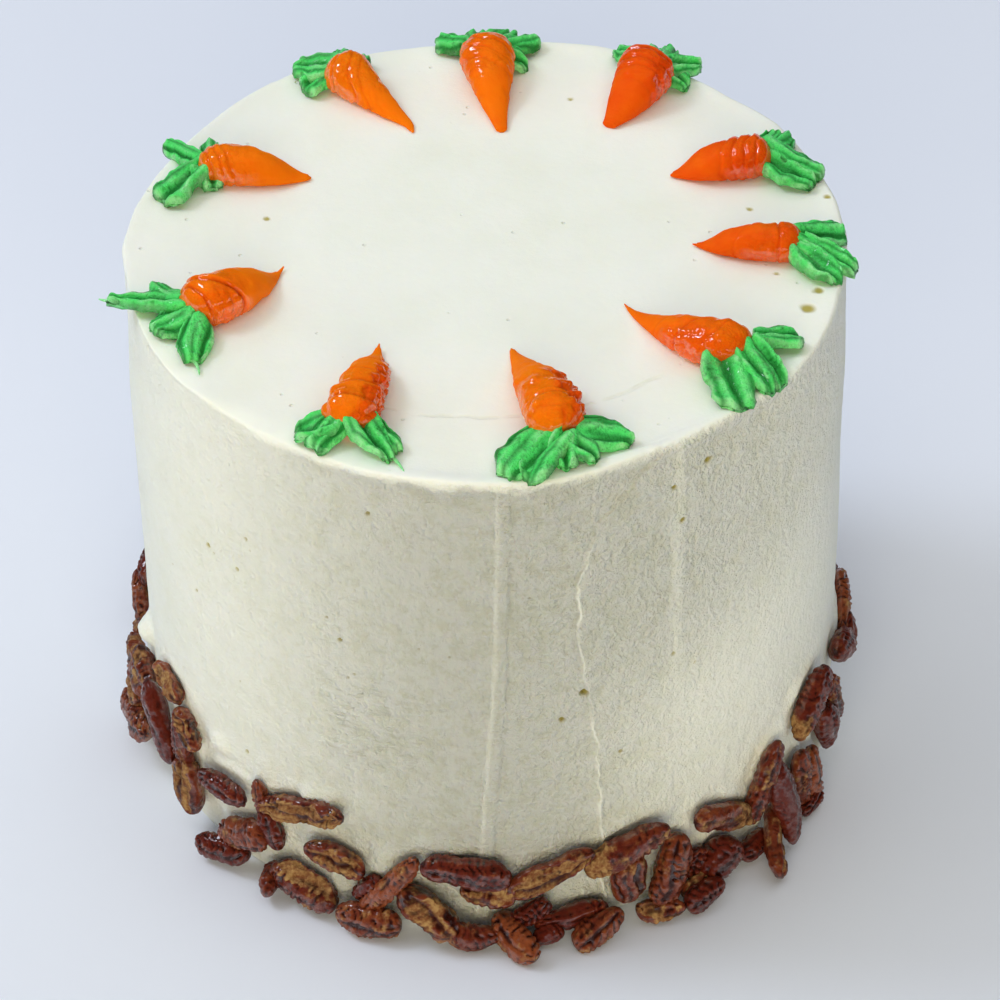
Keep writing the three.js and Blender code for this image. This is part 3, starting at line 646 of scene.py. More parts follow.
def frosting_height(look, side, ring):
    """The frosting's fine relief in mm: grain, drag lines, dimples, pocks and scratches."""
    grain = look.noise(1.3, 4, roughness=0.62) - 0.5
    drag = look.noise(2.4, 3, stretch=(1, 1, 0.12)) - 0.5
    dimple = look.noise(2.6, 2).between(0.55, 0.75)
    cells = look.node(
        "ShaderNodeTexVoronoi", None, {"Vector": look.place(), "Scale": 1 / 5.5}, output="Distance")
    pock = (1 - cells.between(0.04, 0.11)) * look.noise(9, 1).between(0.52, 0.62)
    scratch = look.noise(2.0, 3, stretch=(0.35, 0.35, 2.2)).between(0.52, 0.62)
    scratch = scratch * look.noise(4, 1).between(0.42, 0.56) * look.mark("rough")
    height = grain * (side * 4.6 + 0.1) + drag * side * 1.6 - dimple * side * 0.6
    height = height - pock * 0.35 - scratch * 0.8
    return height + (look.noise(5, 3) - 0.5) * (side * 3.6 + 0.15) - ring * 0.2


def frosting_finish(colours):
    """Cream-cheese frosting: pale, hardly glossy, grained on the side."""
    look = Finish("frosting", Subsurface_Weight=0.2, Subsurface_Scale=0.0012,
                  Subsurface_Radius=(1.0, 0.8, 0.45), Specular_IOR_Level=0.12)
    side = look.mark("side")
    ring = frosting_top_ring(look)
    height = frosting_height(look, side, ring)
    look.bump(height)
    # Duller streaks at random, and painted shade: the low spots of the relief are mixed towards the
    # shade colour, which also darkens the grained side a little.
    shade = (look.noise(26, 3) - 0.5) * 0.6 + (look.noise(4.5, 3) - 0.5) * side * 1.5
    shade = (shade + height * 0.4 + 0.62).between(0.2, 0.8)
    body = look.mix(shade, colours.frosting_streak_and_shade, colours.frosting)
    # Painted shade: the holes, and the ring on the top, are painted dark with the hole colour.
    recess_shade = look.mark("recess_shade") + ring * 0.08
    look.feed("Base Color", look.mix(recess_shade, body, colours.frosting_recess_shade))
    look.feed("Roughness", 0.46 + look.noise(5, 3) * 0.16)
    return look.material


def carrot_finish(colours):
    """Orange icing, redder where it is ripe, with painted shade in the creases and a patchy wet gloss.
    """
    look = Finish("carrot_icing", Subsurface_Weight=0.4, Subsurface_Scale=0.0022,
                  Subsurface_Radius=(1.0, 0.3, 0.06), Specular_IOR_Level=0.03,
                  Coat_Roughness=0.06, Coat_IOR=2.0)
    wet = look.mark("wet")
    blush = look.noise(7, 2) - 0.5
    share = (look.mark("ripe") + blush * 0.5).between(0, 1)
    skin = look.mix(share, colours.carrot_light, colours.carrot_deep)
    # Painted shade: the creases are darkened with the crease colour.
    look.feed("Base Color", look.mix(look.mark("crease") * 0.7, skin, colours.carrot_crease_shade))
    look.feed("Roughness", 0.55 - wet * 0.2)
    look.feed("Coat Weight", wet * (0.4 + look.noise(1.8, 3).between(0.42, 0.56) * 0.6))
    look.bump((look.noise(0.8, 3) - 0.5) * (wet * 0.3 + 0.1) + (look.noise(2.2, 2) - 0.5) * 0.2)
    return look.material


def leaf_finish(colours):
    """Green icing with darker mottling, painted shade in the grooves, pale torn edges and a painted
    highlight on the crests.
    """
    look = Finish("leaf_icing", Subsurface_Weight=0.15, Subsurface_Scale=0.0012,
                  Subsurface_Radius=(0.4, 1.0, 0.4), Specular_IOR_Level=0.15, Coat_Roughness=0.15)
    grain = look.noise(1.1, 3)
    patches = (grain * 0.8 + look.noise(5, 2) * 0.6 - 0.1).between(0.22, 0.62)
    body = look.mix(patches, [c * 1.8 for c in colours.leaf_mottle_and_groove_shade], colours.leaf)
    # The edge mark paints the torn edges pale and the crests lighter as a painted highlight.
    lit = look.mix(look.mark("edge") * (0.4 + grain * 0.6), body, colours.leaf_pale_edge_and_highlight)
    # Painted shade in the grooves and valleys.
    look.feed("Base Color", look.mix(look.mark("groove") * 0.8, lit, colours.leaf_mottle_and_groove_shade))
    look.feed("Roughness", 0.3 + grain * 0.2)
    look.feed("Coat Weight", look.noise(0.9, 2).between(0.5, 0.62))
    look.bump((look.noise(0.6, 3) - 0.5) * 0.7 + (grain - 0.5) * 0.5)
    return look.material


def pecan_finish(colours):
    """Mottled glossy skin with a painted highlight on the ridges and painted shade in the hollows, and
    pale flesh where it is broken.
    """
    look = Finish("pecan", Specular_IOR_Level=0.15, Coat_Roughness=0.12, Coat_IOR=1.9)
    relief = look.mark("relief")
    # Painted shade where the relief is low, painted highlight where it is high.
    low = (0 - relief).between(-0.05, 0.65)
    high = relief.between(0.05, 0.7)
    mottle = look.noise(2.0, 3, warp=0.4)
    streak = look.noise(0.8, 2)
    share = (look.mark("tone") + (mottle - 0.55) * 1.4).between(0, 1)
    skin = look.mix(share, colours.pecan_dark, colours.pecan_brown)
    # Painted highlight on the ridges.
    skin = look.mix(high * streak.between(0.38, 0.72) * 0.65, skin, colours.pecan_ridge_highlight)
    # Raised flesh is painted a little paler, a painted highlight.
    toasted = (streak * 0.6 + mottle * 0.6 + high * 0.2).between(0.42, 0.9)
    meat = look.mix(toasted, colours.pecan_toast, colours.pecan_flesh)
    bare = look.mark("flesh") + (mottle - 0.5) * 0.8 + (streak - 0.5) * 0.4
    bare = bare.between(0.25, 0.85)
    body = look.mix(bare, skin, meat)
    # Painted shade in the grooves and hollows.
    look.feed("Base Color", look.mix(low * (1 - bare * 0.25), body, colours.pecan_hollow_shade))
    look.feed("Roughness", 0.42 + bare * 0.25)
    look.feed("Coat Weight", (1 - bare) * (0.2 + mottle.between(0.42, 0.6) * 0.6))
    look.bump((mottle - 0.5) * 0.5 + (streak - 0.5) * 0.4)
    return look.material


# ------------------------------------------------------------------ frosting


def column_turns():
    """Azimuths of the frosting's columns, closest where the joint and the flap's edge run."""
    spans = [(-180, -100, 1.4), (-100, -60, 0.9), (-60, -3, 0.6), (-3, 4, 0.25), (4, 13, 0.6),
             (13, 18, 0.2), (18, 60, 0.6), (60, 100, 0.9), (100, 180, 1.4)]
    return np.concatenate([np.arange(a, b - step / 2, step) for a, b, step in spans])


def frosting_rows(sizes):
    """(share of the radius, height, how far up the rim's rounding in degrees) of each row."""
    top, roll = sizes.height_mm, sizes.rim_mm
    rows = [(0.0, 0.0, 0), (0.5, 0.0, 0), (0.97, 0.0, 0), (0.994, 0.4, 0)]
    rows += [(1.0, z, 0) for z in np.linspace(1.2, top - roll, SIDE_ROWS)]
    for turn in (12, 26, 40, 54, 68, 80, 90):
        angle = math.radians(turn)
        share = 1 - roll / sizes.radius_mm * (1 - math.cos(angle))
        rows.append((share, top - roll * (1 - math.sin(angle)), turn))
    edge = rows[-1][0]
    shares = [edge - (edge - 0.2) * (i / TOP_ROWS) ** 1.12 for i in range(1, TOP_ROWS + 1)]
    rows += [(share, top, 90) for share in shares] + [(s, top, 90) for s in (0.13, 0.06, 0.0)]
    return np.array(rows)


def column_shift(turn, height):
    """How far each column is moved round, so that columns follow the joint and the flap."""
    ragged = 0.28 * rough(np.stack([height, height * 0, height * 0], -1), (3.2, 1, 1), 3)
    flap = np.interp(height, FLAP_HEIGHTS, FLAP_TURNS) + ragged * smooth_step(10, 14, turn)
    seam = np.interp(height, SEAM_HEIGHTS, SEAM_TURNS)
    seam_shift, flap_shift = seam - SEAM_COLUMN, flap - FLAP_COLUMN
    shift = np.where(turn < SEAM_COLUMN, seam_shift * smooth_step(-10, -1, turn), seam_shift)
    between = np.clip((turn - 2.5) / (FLAP_COLUMN - 2.5), 0, 1)
    shift = shift + (flap_shift - seam_shift) * between
    beyond = 1 - np.clip((turn - FLAP_COLUMN) / 33, 0, 1)
    return np.where(turn > FLAP_COLUMN, flap_shift * beyond, shift)


def frosting_grid(sizes):
    """The plain frosted body's points, with all that their relief depends on."""
    rows = frosting_rows(sizes)
    share, z, roll = (rows[:, i][:, None] for i in range(3))
    turn = np.broadcast_to(column_turns(), (len(rows), len(column_turns())))
    height = np.broadcast_to(z, turn.shape)
    azimuth = turn + column_shift(turn, height) * np.where(share < 0.96, 0.0, 1.0)
    standing = np.interp(nearest_turn(azimuth), RIM_TURNS, RIM_OFFSETS)
    radius = side_radius(azimuth, height, sizes) + standing * smooth_step(125, 152, height)
    out = outwards(azimuth)
    place = out * (radius * share)[..., None]
    place[..., 2] = height
    return SimpleNamespace(
        azimuth=azimuth, height=height, share=share, roll=roll, out=out, place=place,
        past_seam=turn - SEAM_COLUMN, past_flap=turn - FLAP_COLUMN,
        up=np.sin(np.radians(roll)) * np.ones_like(turn), round_rim=out * RIM_BUMPS_RADIUS,
        inward=(1 - share) * sizes.radius_mm, below_top=height - sizes.height_mm,
        wall=smooth_step(0.5, 3, height) * (share > 0.9))


def upright(height):
    """Places that change with the height alone, for bumps that are the same all round."""
    return np.stack([height * 0, height * 0, height], -1)


def scraped_relief(grid):
    """The side's shallow waves, its torn patch and its nicks, and how rough both look."""
    place, azimuth, height = grid.place, grid.azimuth, grid.height
    relief = 0.32 * bumps(place, (34, 34, 40), 1) + 0.13 * bumps(place, (9, 9, 55), 2)
    relief += (0.07 + 0.09 * dome(azimuth - 2, 26)) * rough(place, (6, 6, 7), 5)
    relief += 0.05 * bumps(place, (14, 14, 2.4), 4)
    relief -= 0.5 * dome(azimuth + 18, 6) * smooth_step(60, 150, height)
    patch = window(azimuth, -31, -26, -14, -10) * window(height, 50, 60, 80, 90)
    relief += patch * (0.34 * bumps(place, (5, 5, 1.7), 8) + 0.28 * bumps(place, (3, 3, 3.5), 9))
    nicks = window(azimuth, 1, 5, 12, 16) * (0.4 + 0.6 * smooth_step(100, 112, height))
    relief += nicks * 0.30 * bumps(place, (4, 4, 1.6), 10)
    return relief, patch + nicks * 0.6


def flap_curl(height):
    """Where the last stroke's edge is curled up into a bright ragged lip."""
    return smooth_step(140, 131, height) * (0.75 + 0.45 * bumps(upright(height), (1, 1, 7), 16))


def stroke_relief(grid, curled):
    """The last stroke's flap with its edge, the joint band and the ridge on the right."""
    flap, seam, height = grid.past_flap, grid.past_seam, grid.height
    step = window(flap, -0.15, 0.1, 5, 31)
    strength = 0.6 + 0.3 * bumps(upright(height), (1, 1, 14), 11)
    torn = 0.25 + 0.6 * np.abs(bumps(grid.place, (2.5, 2.5, 1.8), 12))
    relief = step * strength * (1 - 0.4 * curled) + dome(flap - 0.3, 0.3) * curled * torn
    relief -= (0.5 - 0.5 * curled) * dome(flap + 0.4, 0.3)
    band = window(seam, -1.2, -0.8, 1.0, 1.3)
    relief += band * 0.45 + 0.25 * dome(seam + 0.9, 0.2) - 0.4 * dome(seam - 1.55, 0.25)
    ridge = dome(grid.azimuth - RIDGE_TURN - 0.5 * bumps(upright(height), (1, 1, 30), 13), 0.9)
    return relief + 0.3 * ridge * smooth_step(70, 90, height)


def pressed_cushion(azimuth, height, sizes, pecans):
    """How far the frosting stands out round the pecans that are pressed into it, in mm."""
    raised = np.zeros(azimuth.shape)
    for index, (middle, z, turn, length, width, *_rest) in enumerate(pecans):
        arc = np.radians(nearest_turn(azimuth - middle)) * sizes.radius_mm
        spin = math.radians(turn)
        along = arc * math.cos(spin) + (height - z) * math.sin(spin)
        beside = -arc * math.sin(spin) + (height - z) * math.cos(spin)
        ring = np.sqrt((along / (length / 2 + 1)) ** 2 + (beside / (width / 2 + 1)) ** 2)
        amount = 1.1 + 0.9 * math.sin(index * 2.4)
        raised = np.maximum(raised, amount * dome(ring - 1.0, 0.38))
    return raised


def foot_relief(grid, sizes, pecans):
    """Frosting that stands out behind the pecans and is pushed up beside them."""
    azimuth, height, place = grid.azimuth, grid.height, grid.place
    cushion = pressed_cushion(azimuth, height, sizes, pecans) * smooth_step(58, 40, height)
    cushion *= 0.75 + 0.5 * bumps(place, (6, 6, 5), 14)
    for middle, level, wide, tall, far in PUSHED_LUMPS:
        arc = np.radians(azimuth - middle) * sizes.radius_mm
        lump = np.exp(-((arc / wide) ** 2 + ((height - level) / tall) ** 2) ** 1.6)
        cushion = np.maximum(cushion, far * lump * (0.85 + 0.3 * bumps(place, 4.0, 15)))
    return cushion


def rim_relief(grid):
    """(lift of the top, push of the side's upper end) that shape the rim and the flat top."""
    azimuth, place, inward, below = grid.azimuth, grid.place, grid.inward, grid.below_top
    soft = dome(azimuth + 53, 22) * (0.9 + 0.7 * bumps(grid.round_rim, 12, 26))
    lip = 0.4 + 0.4 * bumps(grid.round_rim, 22, 20)
    lip += 0.6 * dome(azimuth + 8, 9) + 0.35 * dome(azimuth - 35, 30)
    lip *= 1 - 0.8 * np.clip(soft, 0, 1)
    torn = smooth_step(0.25, 0.6, bumps(grid.round_rim, 9, 21))
    crumbs = torn * 0.5 * bumps(place, 2.2, 22)
    rim = lip * dome(inward - 1.6, 2.4) + crumbs * dome(inward - 1, 2.0)
    rim *= smooth_step(0, 40, grid.roll)
    flat = 0.22 * bumps(place, 38, 23) + 0.07 * rough(place, 8, 24)
    lift = (rim + flat * grid.up) * smooth_step(0.0, 0.15, grid.share)
    sag = np.clip(1 - inward / 6, 0, 1) ** 2 * (grid.share > 0.5) * smooth_step(142, 157, grid.height)
    lift = lift - 1.3 * soft * sag

    ragged = np.clip(0.7 + 1.3 * bumps(grid.round_rim, 6, 27), 0, 1.6)
    push = 0.4 * torn * dome(below, 3) - 0.8 * dome(below + 4.8, 2.6) * np.clip(lip * 1.2, 0, 1)
    push += 1.2 * dome(azimuth + 20, 13) * ragged * dome(below + 0.8, 1.5)
    push -= 1.1 * soft * np.clip(1 + below / 6, 0, 1) ** 2
    return lift, push


def smooth_places(grid, curled):
    """Where the side has no grain: under the front rim, along the flap, ridge and joint. The painted
    shade of the grain's low spots is left out there too, a painted highlight along the lips.
    """
    azimuth = grid.azimuth
    edge = grid.below_top + 1.7 + 1.8 * bumps(grid.round_rim, 7, 28)
    edge = edge + 0.9 * bumps(grid.round_rim, 2.2, 29)
    clean = 0.6 * smooth_step(-0.6, 0.6, edge) * window(azimuth, -46, -36, 16, 30)
    clean = np.maximum(clean, 0.85 * dome(grid.past_flap - 0.3, 0.26) * curled)
    ridge = dome(azimuth - RIDGE_TURN, 1.1) * smooth_step(60, 90, grid.height)
    clean = np.maximum(clean, 0.4 * ridge)
    return np.maximum(clean, 0.45 * dome(grid.past_seam + 0.7, 0.4))


def frosting_marks(grid, roughened, curled):
    """How grained the side is, where it is torn, and where the ring on the top runs."""
    azimuth = grid.azimuth
    side = (1 - grid.up) * (grid.share > 0.9)
    reach = np.where(azimuth > 1, 23 + 30 * smooth_step(65, 125, grid.height), 33)
    grained = (0.12 + 0.88 * dome(azimuth - 1, reach)) * (1 - smooth_places(grid, curled))
    return {
        "side": np.clip(side, 0, 1) * grained,
        "rough": np.clip(roughened, 0, 1) * side,
        "ring": window(azimuth, -30, -24, 36, 42) * grid.up,
    }


def frosting_shape(sizes, pecans):
    """Points (rows, columns, 3) of the frosted body in mm, and its marks."""
    grid = frosting_grid(sizes)
    curled = flap_curl(grid.height)
    relief, roughened = scraped_relief(grid)
    relief += stroke_relief(grid, curled) + foot_relief(grid, sizes, pecans) * grid.wall
    lift, push = rim_relief(grid)
    shape = grid.place + grid.out * ((relief + push) * (1 - grid.up) * grid.wall)[..., None]
    shape[..., 2] += lift
    underside = (grid.share < 0.9) & (grid.height < 1)
    shape[..., 2] = np.where(underside, 0, shape[..., 2])
    return shape, frosting_marks(grid, roughened, curled)


def sink_holes(piece, holes):
    """Splits the faces round each hole finely and presses the hole in, marking where it is painted dark
    as shade.
    """
    with edited(piece) as body:
        split_near(body, holes)
        press_in(body, holes)
        body.normal_update()


def split_near(body, holes):
    """Splits the faces that lie in or beside a hole into sixteen."""
    body.faces.ensure_lookup_table()
    centres = np.array([face.calc_center_median() for face in body.faces])
    near = set()
    for centre, _inward, radius, _depth in holes:
        gap = np.linalg.norm(centres - centre, axis=1)
        near.update(np.nonzero(gap < radius * 1.5 + 0.9 * MM)[0].tolist())
    edges = {edge for i in near for edge in body.faces[i].edges}
    bmesh.ops.subdivide_edges(body, edges=list(edges), cuts=3, use_grid_fill=True)


def press_in(body, holes):
    """Moves the points of each ragged hole inwards, a little out at its edge, and marks it for painted
    shade.
    """
    recess_shade = body.verts.layers.float["recess_shade"]
    spots = np.array([vert.co for vert in body.verts])
    verts = list(body.verts)
    for centre, inward, radius, depth in holes:
        away = spots - centre
        flat = away - np.outer(away @ inward, inward)
        ragged = 1 + 0.35 * bumps(spots / radius, 1.1, 25)
        squash = np.linalg.norm(flat, axis=1) / radius * ragged
        inside = (squash < 1.8) & (np.linalg.norm(away, axis=1) < radius * 3)
        for i in np.nonzero(inside)[0]:
            edge = math.exp(-((squash[i] - 1.2) / 0.25) ** 2)
            sunk = 0.7 * depth * max(1 - squash[i] ** 2, 0) ** 0.7 - 0.12 * depth * edge
            verts[i].co += Vector(inward) * sunk
            # Painted shade, darkest in the middle of the hole.
            dark = min(max(1 - squash[i], 0) * 2, radius / MM, 1)
            verts[i][recess_shade] = max(verts[i][recess_shade], dark)


def hole_places(sizes):
    """(centre, direction in, radius, depth) of every hole, in metres."""
    stream = random_stream(977)

    def drawn(low, spread):
        return low + spread * next(stream)

    scattered = [(drawn(-175, 350), drawn(52, 96), drawn(0.25, 0.25), 0.4)
                 for _ in range(SCATTERED_HOLES)]
    holes = []
    for azimuth, height, radius, depth in AIR_HOLES + scattered:
        out = outwards(azimuth)
        centre = out * float(side_radius(azimuth, height, sizes)) + [0, 0, height]
        holes.append((centre * MM, -out, radius * MM, depth * MM))
    for x, y, radius, depth in TOP_HOLLOWS:
        centre = np.array([x, y, sizes.height_mm])
        holes.append((centre * MM, np.array([0, 0, -1.0]), radius * MM, depth * MM))
    return holes


# ------------------------------------------------------------------ carrots


def carrot_girth(carrot, share):
    """Half width along a carrot: a thin point first, then the body with its corners eased."""
    point, girth = carrot["point"], carrot["girth"]
    knots = np.linspace(point, 1, len(girth))
    body = sum(np.interp(share + step, knots, girth) for step in (-0.05, 0, 0, 0.05)) / 4
    body = np.minimum(body, girth[0] + np.maximum(share - point, 0) * 60)
    return np.where(share < point, girth[0] * (0.35 + 0.65 * share / max(point, 0.01)), body)


def carrot_grid(carrot, rows=122, around=96):
    """A plain carrot's points by share of the length and turn, and where their bumps are."""
    start, end = (np.array(carrot[k], float) for k in ("tip", "crown"))
    length = np.linalg.norm(end - start)
    share, turn = ring_grid(eased_shares(rows, 0.002, 0.25), around)
    plain = carrot_girth(carrot, share)
    spot = np.stack([share * length, np.sin(turn) * plain, np.cos(turn) * plain], -1)
    return SimpleNamespace(
        start=start, end=end, run=share * length, length=length, share=share, turn=turn,
        plain=plain, spot=spot + start[0] * 0.7 + start[1] * 0.3,
        past=np.clip((share - 0.86) / 0.14, 0, 1))


def piped_ridges(carrot, grid):
    """(relief, crease) of the ridges that the piping leaves round a carrot; crease marks where painted
    shade darkens the icing.
    """
    spot, turn = grid.spot, grid.turn
    spacing, depth, slant, lean = carrot["ring"]
    warp = 1.2 * bumps(spot, (7, 6, 6), 31) + 0.45 * bumps(spot, 2.6, 30)
    phase = (grid.run + slant * np.sin(turn) + warp) / spacing
    lobes = np.abs(np.sin(np.pi * phase)) ** 0.6 - 0.62
    amount = 0.5 + 0.5 * np.clip(lean * np.sin(turn) + (1 - abs(lean)), -1, 1)
    amount = amount * smooth_step(0.08, 0.6, grid.share) * np.clip(grid.plain / 4, 0, 1)
    amount = amount * np.clip(0.6 + bumps(spot, 8, 32), 0, 1.3)
    crease = np.clip(-lobes * 1.3, 0, 1) * min(depth * 1.5, 1)
    return depth * 1.25 * lobes * amount, crease * amount


def add_folds(carrot, grid, relief, crease):
    """The same with the deep folds, where one side of each crease stands over the other."""
    for place, deep, tilt in carrot["folds"]:
        gap = (grid.share - place) * grid.length + tilt * np.sin(grid.turn - 0.3)
        gap = gap + 0.7 * bumps(grid.spot, 4, 33)
        cut = dome(gap, 0.5) * (0.7 + 0.3 * np.sin(grid.turn + place * 9))
        raised = gap if deep > 0 else -gap
        standing = 0.6 * np.exp(-np.maximum(raised, 0) / 2.4) * smooth_step(0, 0.9, raised)
        relief = relief + abs(deep) * (standing - 0.9 * cut)
        crease = np.maximum(crease, cut * min(abs(deep), 1))
    return relief, crease


def knob_relief(carrot, grid):
    """The lumps that are set one by one on a carrot."""
    relief = np.zeros_like(grid.share)
    for place, turn, lump in carrot.get("knobs", ()):
        beside = nearest_turn(grid.turn - math.radians(turn), FULL_TURN) * grid.plain
        gap = np.hypot((grid.share - place) * grid.length, beside)
        relief += lump * 0.9 * np.exp(-((gap / (0.9 + 0.9 * lump)) ** 2) ** 1.4)
    return relief


def coarse_places(carrot, grid):
    """0 on a carrot's smooth side and towards its tip, 1 on its knobbly side."""
    side, _coarse, start = carrot["coarse"]
    reach = side * np.sin(grid.turn) + 0.35 * bumps(grid.spot, 3, 34)
    knobbly = smooth_step(0.15, 0.6, reach + 0.5 * (grid.share - 0.8))
    return knobbly * smooth_step(start - 0.06, start + 0.08, grid.share)


def laid_carrot(carrot, grid, radius, sizes):
    """A carrot's rings laid along its bow on the top of the cake, flattened underneath."""
    share, turn = grid.share, grid.turn
    flick = np.clip(1 - share / (carrot["point"] + 0.08), 0, 1) ** 1.6
    spread = np.sign(np.sin(turn)) * np.abs(np.sin(turn)) ** np.where(np.cos(turn) < 0, 0.6, 1.0)
    across = radius * spread + 4 * carrot["bow"] * share * (1 - share) + carrot["flick"][0] * flick
    rise = radius * np.cos(turn) * 0.86 + grid.plain * (0.78 - 0.10 * grid.past)
    rise = rise * (0.58 + 0.42 * smooth_step(0.0, 0.5, share)) + carrot["flick"][1] * flick
    height = sizes.height_mm + np.maximum(rise, CARROT_UNDERSIDE)
    return on_the_way(grid.start, grid.end, grid.run, across, height)


def carrot_shape(carrot, sizes):
    """Rings of a piped carrot from tip to crown, and its marks."""
    grid = carrot_grid(carrot)
    share, spot, coarse = grid.share, grid.spot, carrot["coarse"][1]
    knobbly = coarse_places(carrot, grid)
    relief, crease = add_folds(carrot, grid, *piped_ridges(carrot, grid))
    relief = relief + knob_relief(carrot, grid)
    relief += coarse * knobbly * (1.3 * pebbles(spot, 2.6, 35) + 0.35 * pebbles(spot, 1.3, 36) - 0.8)
    relief += 0.16 * smooth_step(0.35, 0.7, share) * bumps(spot, (1.3, 2.6, 2.6), 37)
    relief += 0.26 * smooth_step(0.12, 0.35, share) * bumps(spot, (2.4, 2.2, 2.2), 39)
    radius = grid.plain * np.sqrt(np.clip(1 - 0.90 * grid.past**2, 0, 1))
    radius += relief * smooth_step(0.02, 0.1, share) * (1 - 0.6 * grid.past)
    rings = laid_carrot(carrot, grid, np.maximum(radius, 0.12), sizes)
    wet = 0.8 * smooth_step(0.4, 0.7, share + 0.2 * bumps(spot, 6, 38))
    wet = np.clip(wet + knobbly * coarse * 1.4, 0, 1)
    ripe = carrot["ripe"] + 0.5 * knobbly * min(coarse, 1)
    # crease carries the painted shade of the creases and folds.
    return rings, {"crease": (crease, 0, 0.6), "wet": (wet, 0, 0.5),
                   "ripe": (ripe, carrot["ripe"], carrot["ripe"])}


# ------------------------------------------------------------------ leaves


def leaf_grid(leaf, seed, rows=46, across=30, under=8):
    """A flat leaf: u runs along it from 0 to 1, v across it from -1 to 1 and back below."""
    root, tip, width = np.array(leaf[0], float), np.array(leaf[1], float), leaf[2]
    root = root - (tip - root) / np.linalg.norm(tip - root) * LEAF_ROOT_OVERLAP
    length = np.linalg.norm(tip - root)
    upper = np.linspace(-1, 1, across)
    lower = np.linspace(1, -1, under + 2)[1:-1]
    round_it = np.concatenate([np.sign(upper) * np.abs(upper) ** 0.8, lower])
    u, v = np.meshgrid(np.linspace(0, 1, rows) ** 0.9, round_it, indexing="ij")
    grain = np.stack([u * length, v * width / 2, np.full_like(u, seed * 11.3)], -1)
    below = np.arange(across + under) >= across
    return SimpleNamespace(root=root, tip=tip, length=length, u=u, v=v, grain=grain, below=below)


def leaf_outline(leaf, grid, seed):
    """(along, across) in mm of each point: a waved outline with a torn end."""
    width, form = leaf[2], leaf[5]
    u, v, end = grid.u, grid.v, grid.grain * [0, 1, 1]
    torn = 0.6 * bumps(end, (1, 2.4, 1), 41) + 0.45 * bumps(end, (1, 1.0, 1), 42)
    torn -= 0.14 * grid.length * np.abs(v) ** 3
    edge = np.stack([u * grid.length, np.sign(v) * 3, np.full_like(u, seed)], -1)
    wave = 1 + 0.13 * bumps(edge, (5, 1, 1), 43) + 0.05 * bumps(edge, (1.6, 1, 1), 44)
    across = v * LEAF_FORMS[form](u) * width / 2 * wave + 0.5 * np.sin(u * 3 + seed)
    return u * grid.length + torn * smooth_step(0.5, 1.0, u), across


def main_fold(fold, off):
    """(height, groove, crest) of a leaf's valley, or of its ridge where fold is below zero."""
    if fold > 0:
        rise = 1.7 * np.sin(np.pi / 2 * np.clip(off / 0.6, 0, 1)) - 1.3
        return fold * rise, dome(off, 0.16), dome(off - 0.6, 0.15)
    groove = dome(off - 0.72, 0.12)
    return fold * (1.6 * off**0.9 - 0.9 + 0.5 * groove), groove, dome(off, 0.14)


def leaf_shape(leaf, sizes, seed):
    """A thick folded leaf with a blunt, crumbly end: rings from root to tip, and its marks."""
    rise, fold, _form, hang = leaf[3:]
    grid = leaf_grid(leaf, seed)
    u, v, grain = grid.u, grid.v, grid.grain
    middle = 0.16 * np.sin(u * 4 + seed)
    folding, groove, crest = main_fold(fold, np.sqrt((v - middle) ** 2 + 0.002))
    pleat = 1.35 * v * (1 + 0.15 * np.sin(seed)) + 0.37 * seed + 0.12 * bumps(grain, (5, 9, 5), 49)
    pleat = np.abs(np.sin(np.pi * pleat))
    ruffle = 0.28 * np.sin(FULL_TURN * u * grid.length / 6.0 + seed * 1.7 + 1.4 * v)
    ruffle = ruffle * (0.3 + 0.7 * np.abs(v))
    lumps = 0.24 * bumps(grain, (3.4, 2.6, 3.4), 45) + 0.12 * rough(grain, 1.3, 46, 2)
    pillow = (1 - np.abs(v) ** 8) ** 0.4 * (1 - np.clip((u - 0.90) / 0.10, 0, 1) ** 3) ** 0.5

    top = LEAF_END_HEIGHT + (rise - LEAF_END_HEIGHT) * (1 - u) ** 1.3
    top = top + 0.6 * math.sin(seed * 2.7) * v + 1.1 * folding
    top += 0.75 * (0.5 - pleat**0.8) * smooth_step(0.05, 0.4, u) * (1 - 0.35 * u)
    top += (ruffle + lumps) * smooth_step(0.05, 0.3, u)
    top *= 0.48 + 0.52 * pillow
    top += smooth_step(0.8, 0.97, u) * 0.5 * bumps(grain, 1.1, 47)
    top = np.maximum(top, 0.5)
    thick = (2.6 + 3.4 * (1 - u) ** 2) * (0.35 + 0.65 * pillow)
    height = np.where(grid.below, np.maximum(top - thick, LEAF_UNDERSIDE), top)
    along, across = leaf_outline(leaf, grid, seed)
    place = on_the_way(grid.root, grid.tip, along, across, sizes.height_mm + height)
    reach, side = reach_and_side(place, sizes.height_mm, sizes)
    place[..., 2] -= hang * np.clip(reach - side + LEAF_HANG_START, 0, 9) ** 1.35 * 0.45

    # Pale torn edges, and a painted highlight on the crests of the folds and pleats.
    pale = smooth_step(0.78, 1.0, np.abs(v)) + smooth_step(0.88, 1.0, u)
    pale += 0.6 * crest + 0.5 * (1 - pleat) ** 2
    pale *= 0.5 + 0.7 * np.clip(bumps(grain, 2, 48), -0.5, 1)
    # Painted shade in the valleys of the folds, pleats and ruffles.
    groove = np.clip(groove + 0.8 * pleat**6 * smooth_step(0.1, 0.4, u), 0, 1)
    groove = np.clip(groove + 0.5 * np.clip(-ruffle - 0.1, 0, 1), 0, 1)
    return place, {"edge": (np.clip(pale, 0, 1), 0, 1), "groove": (groove, 0, 0)}


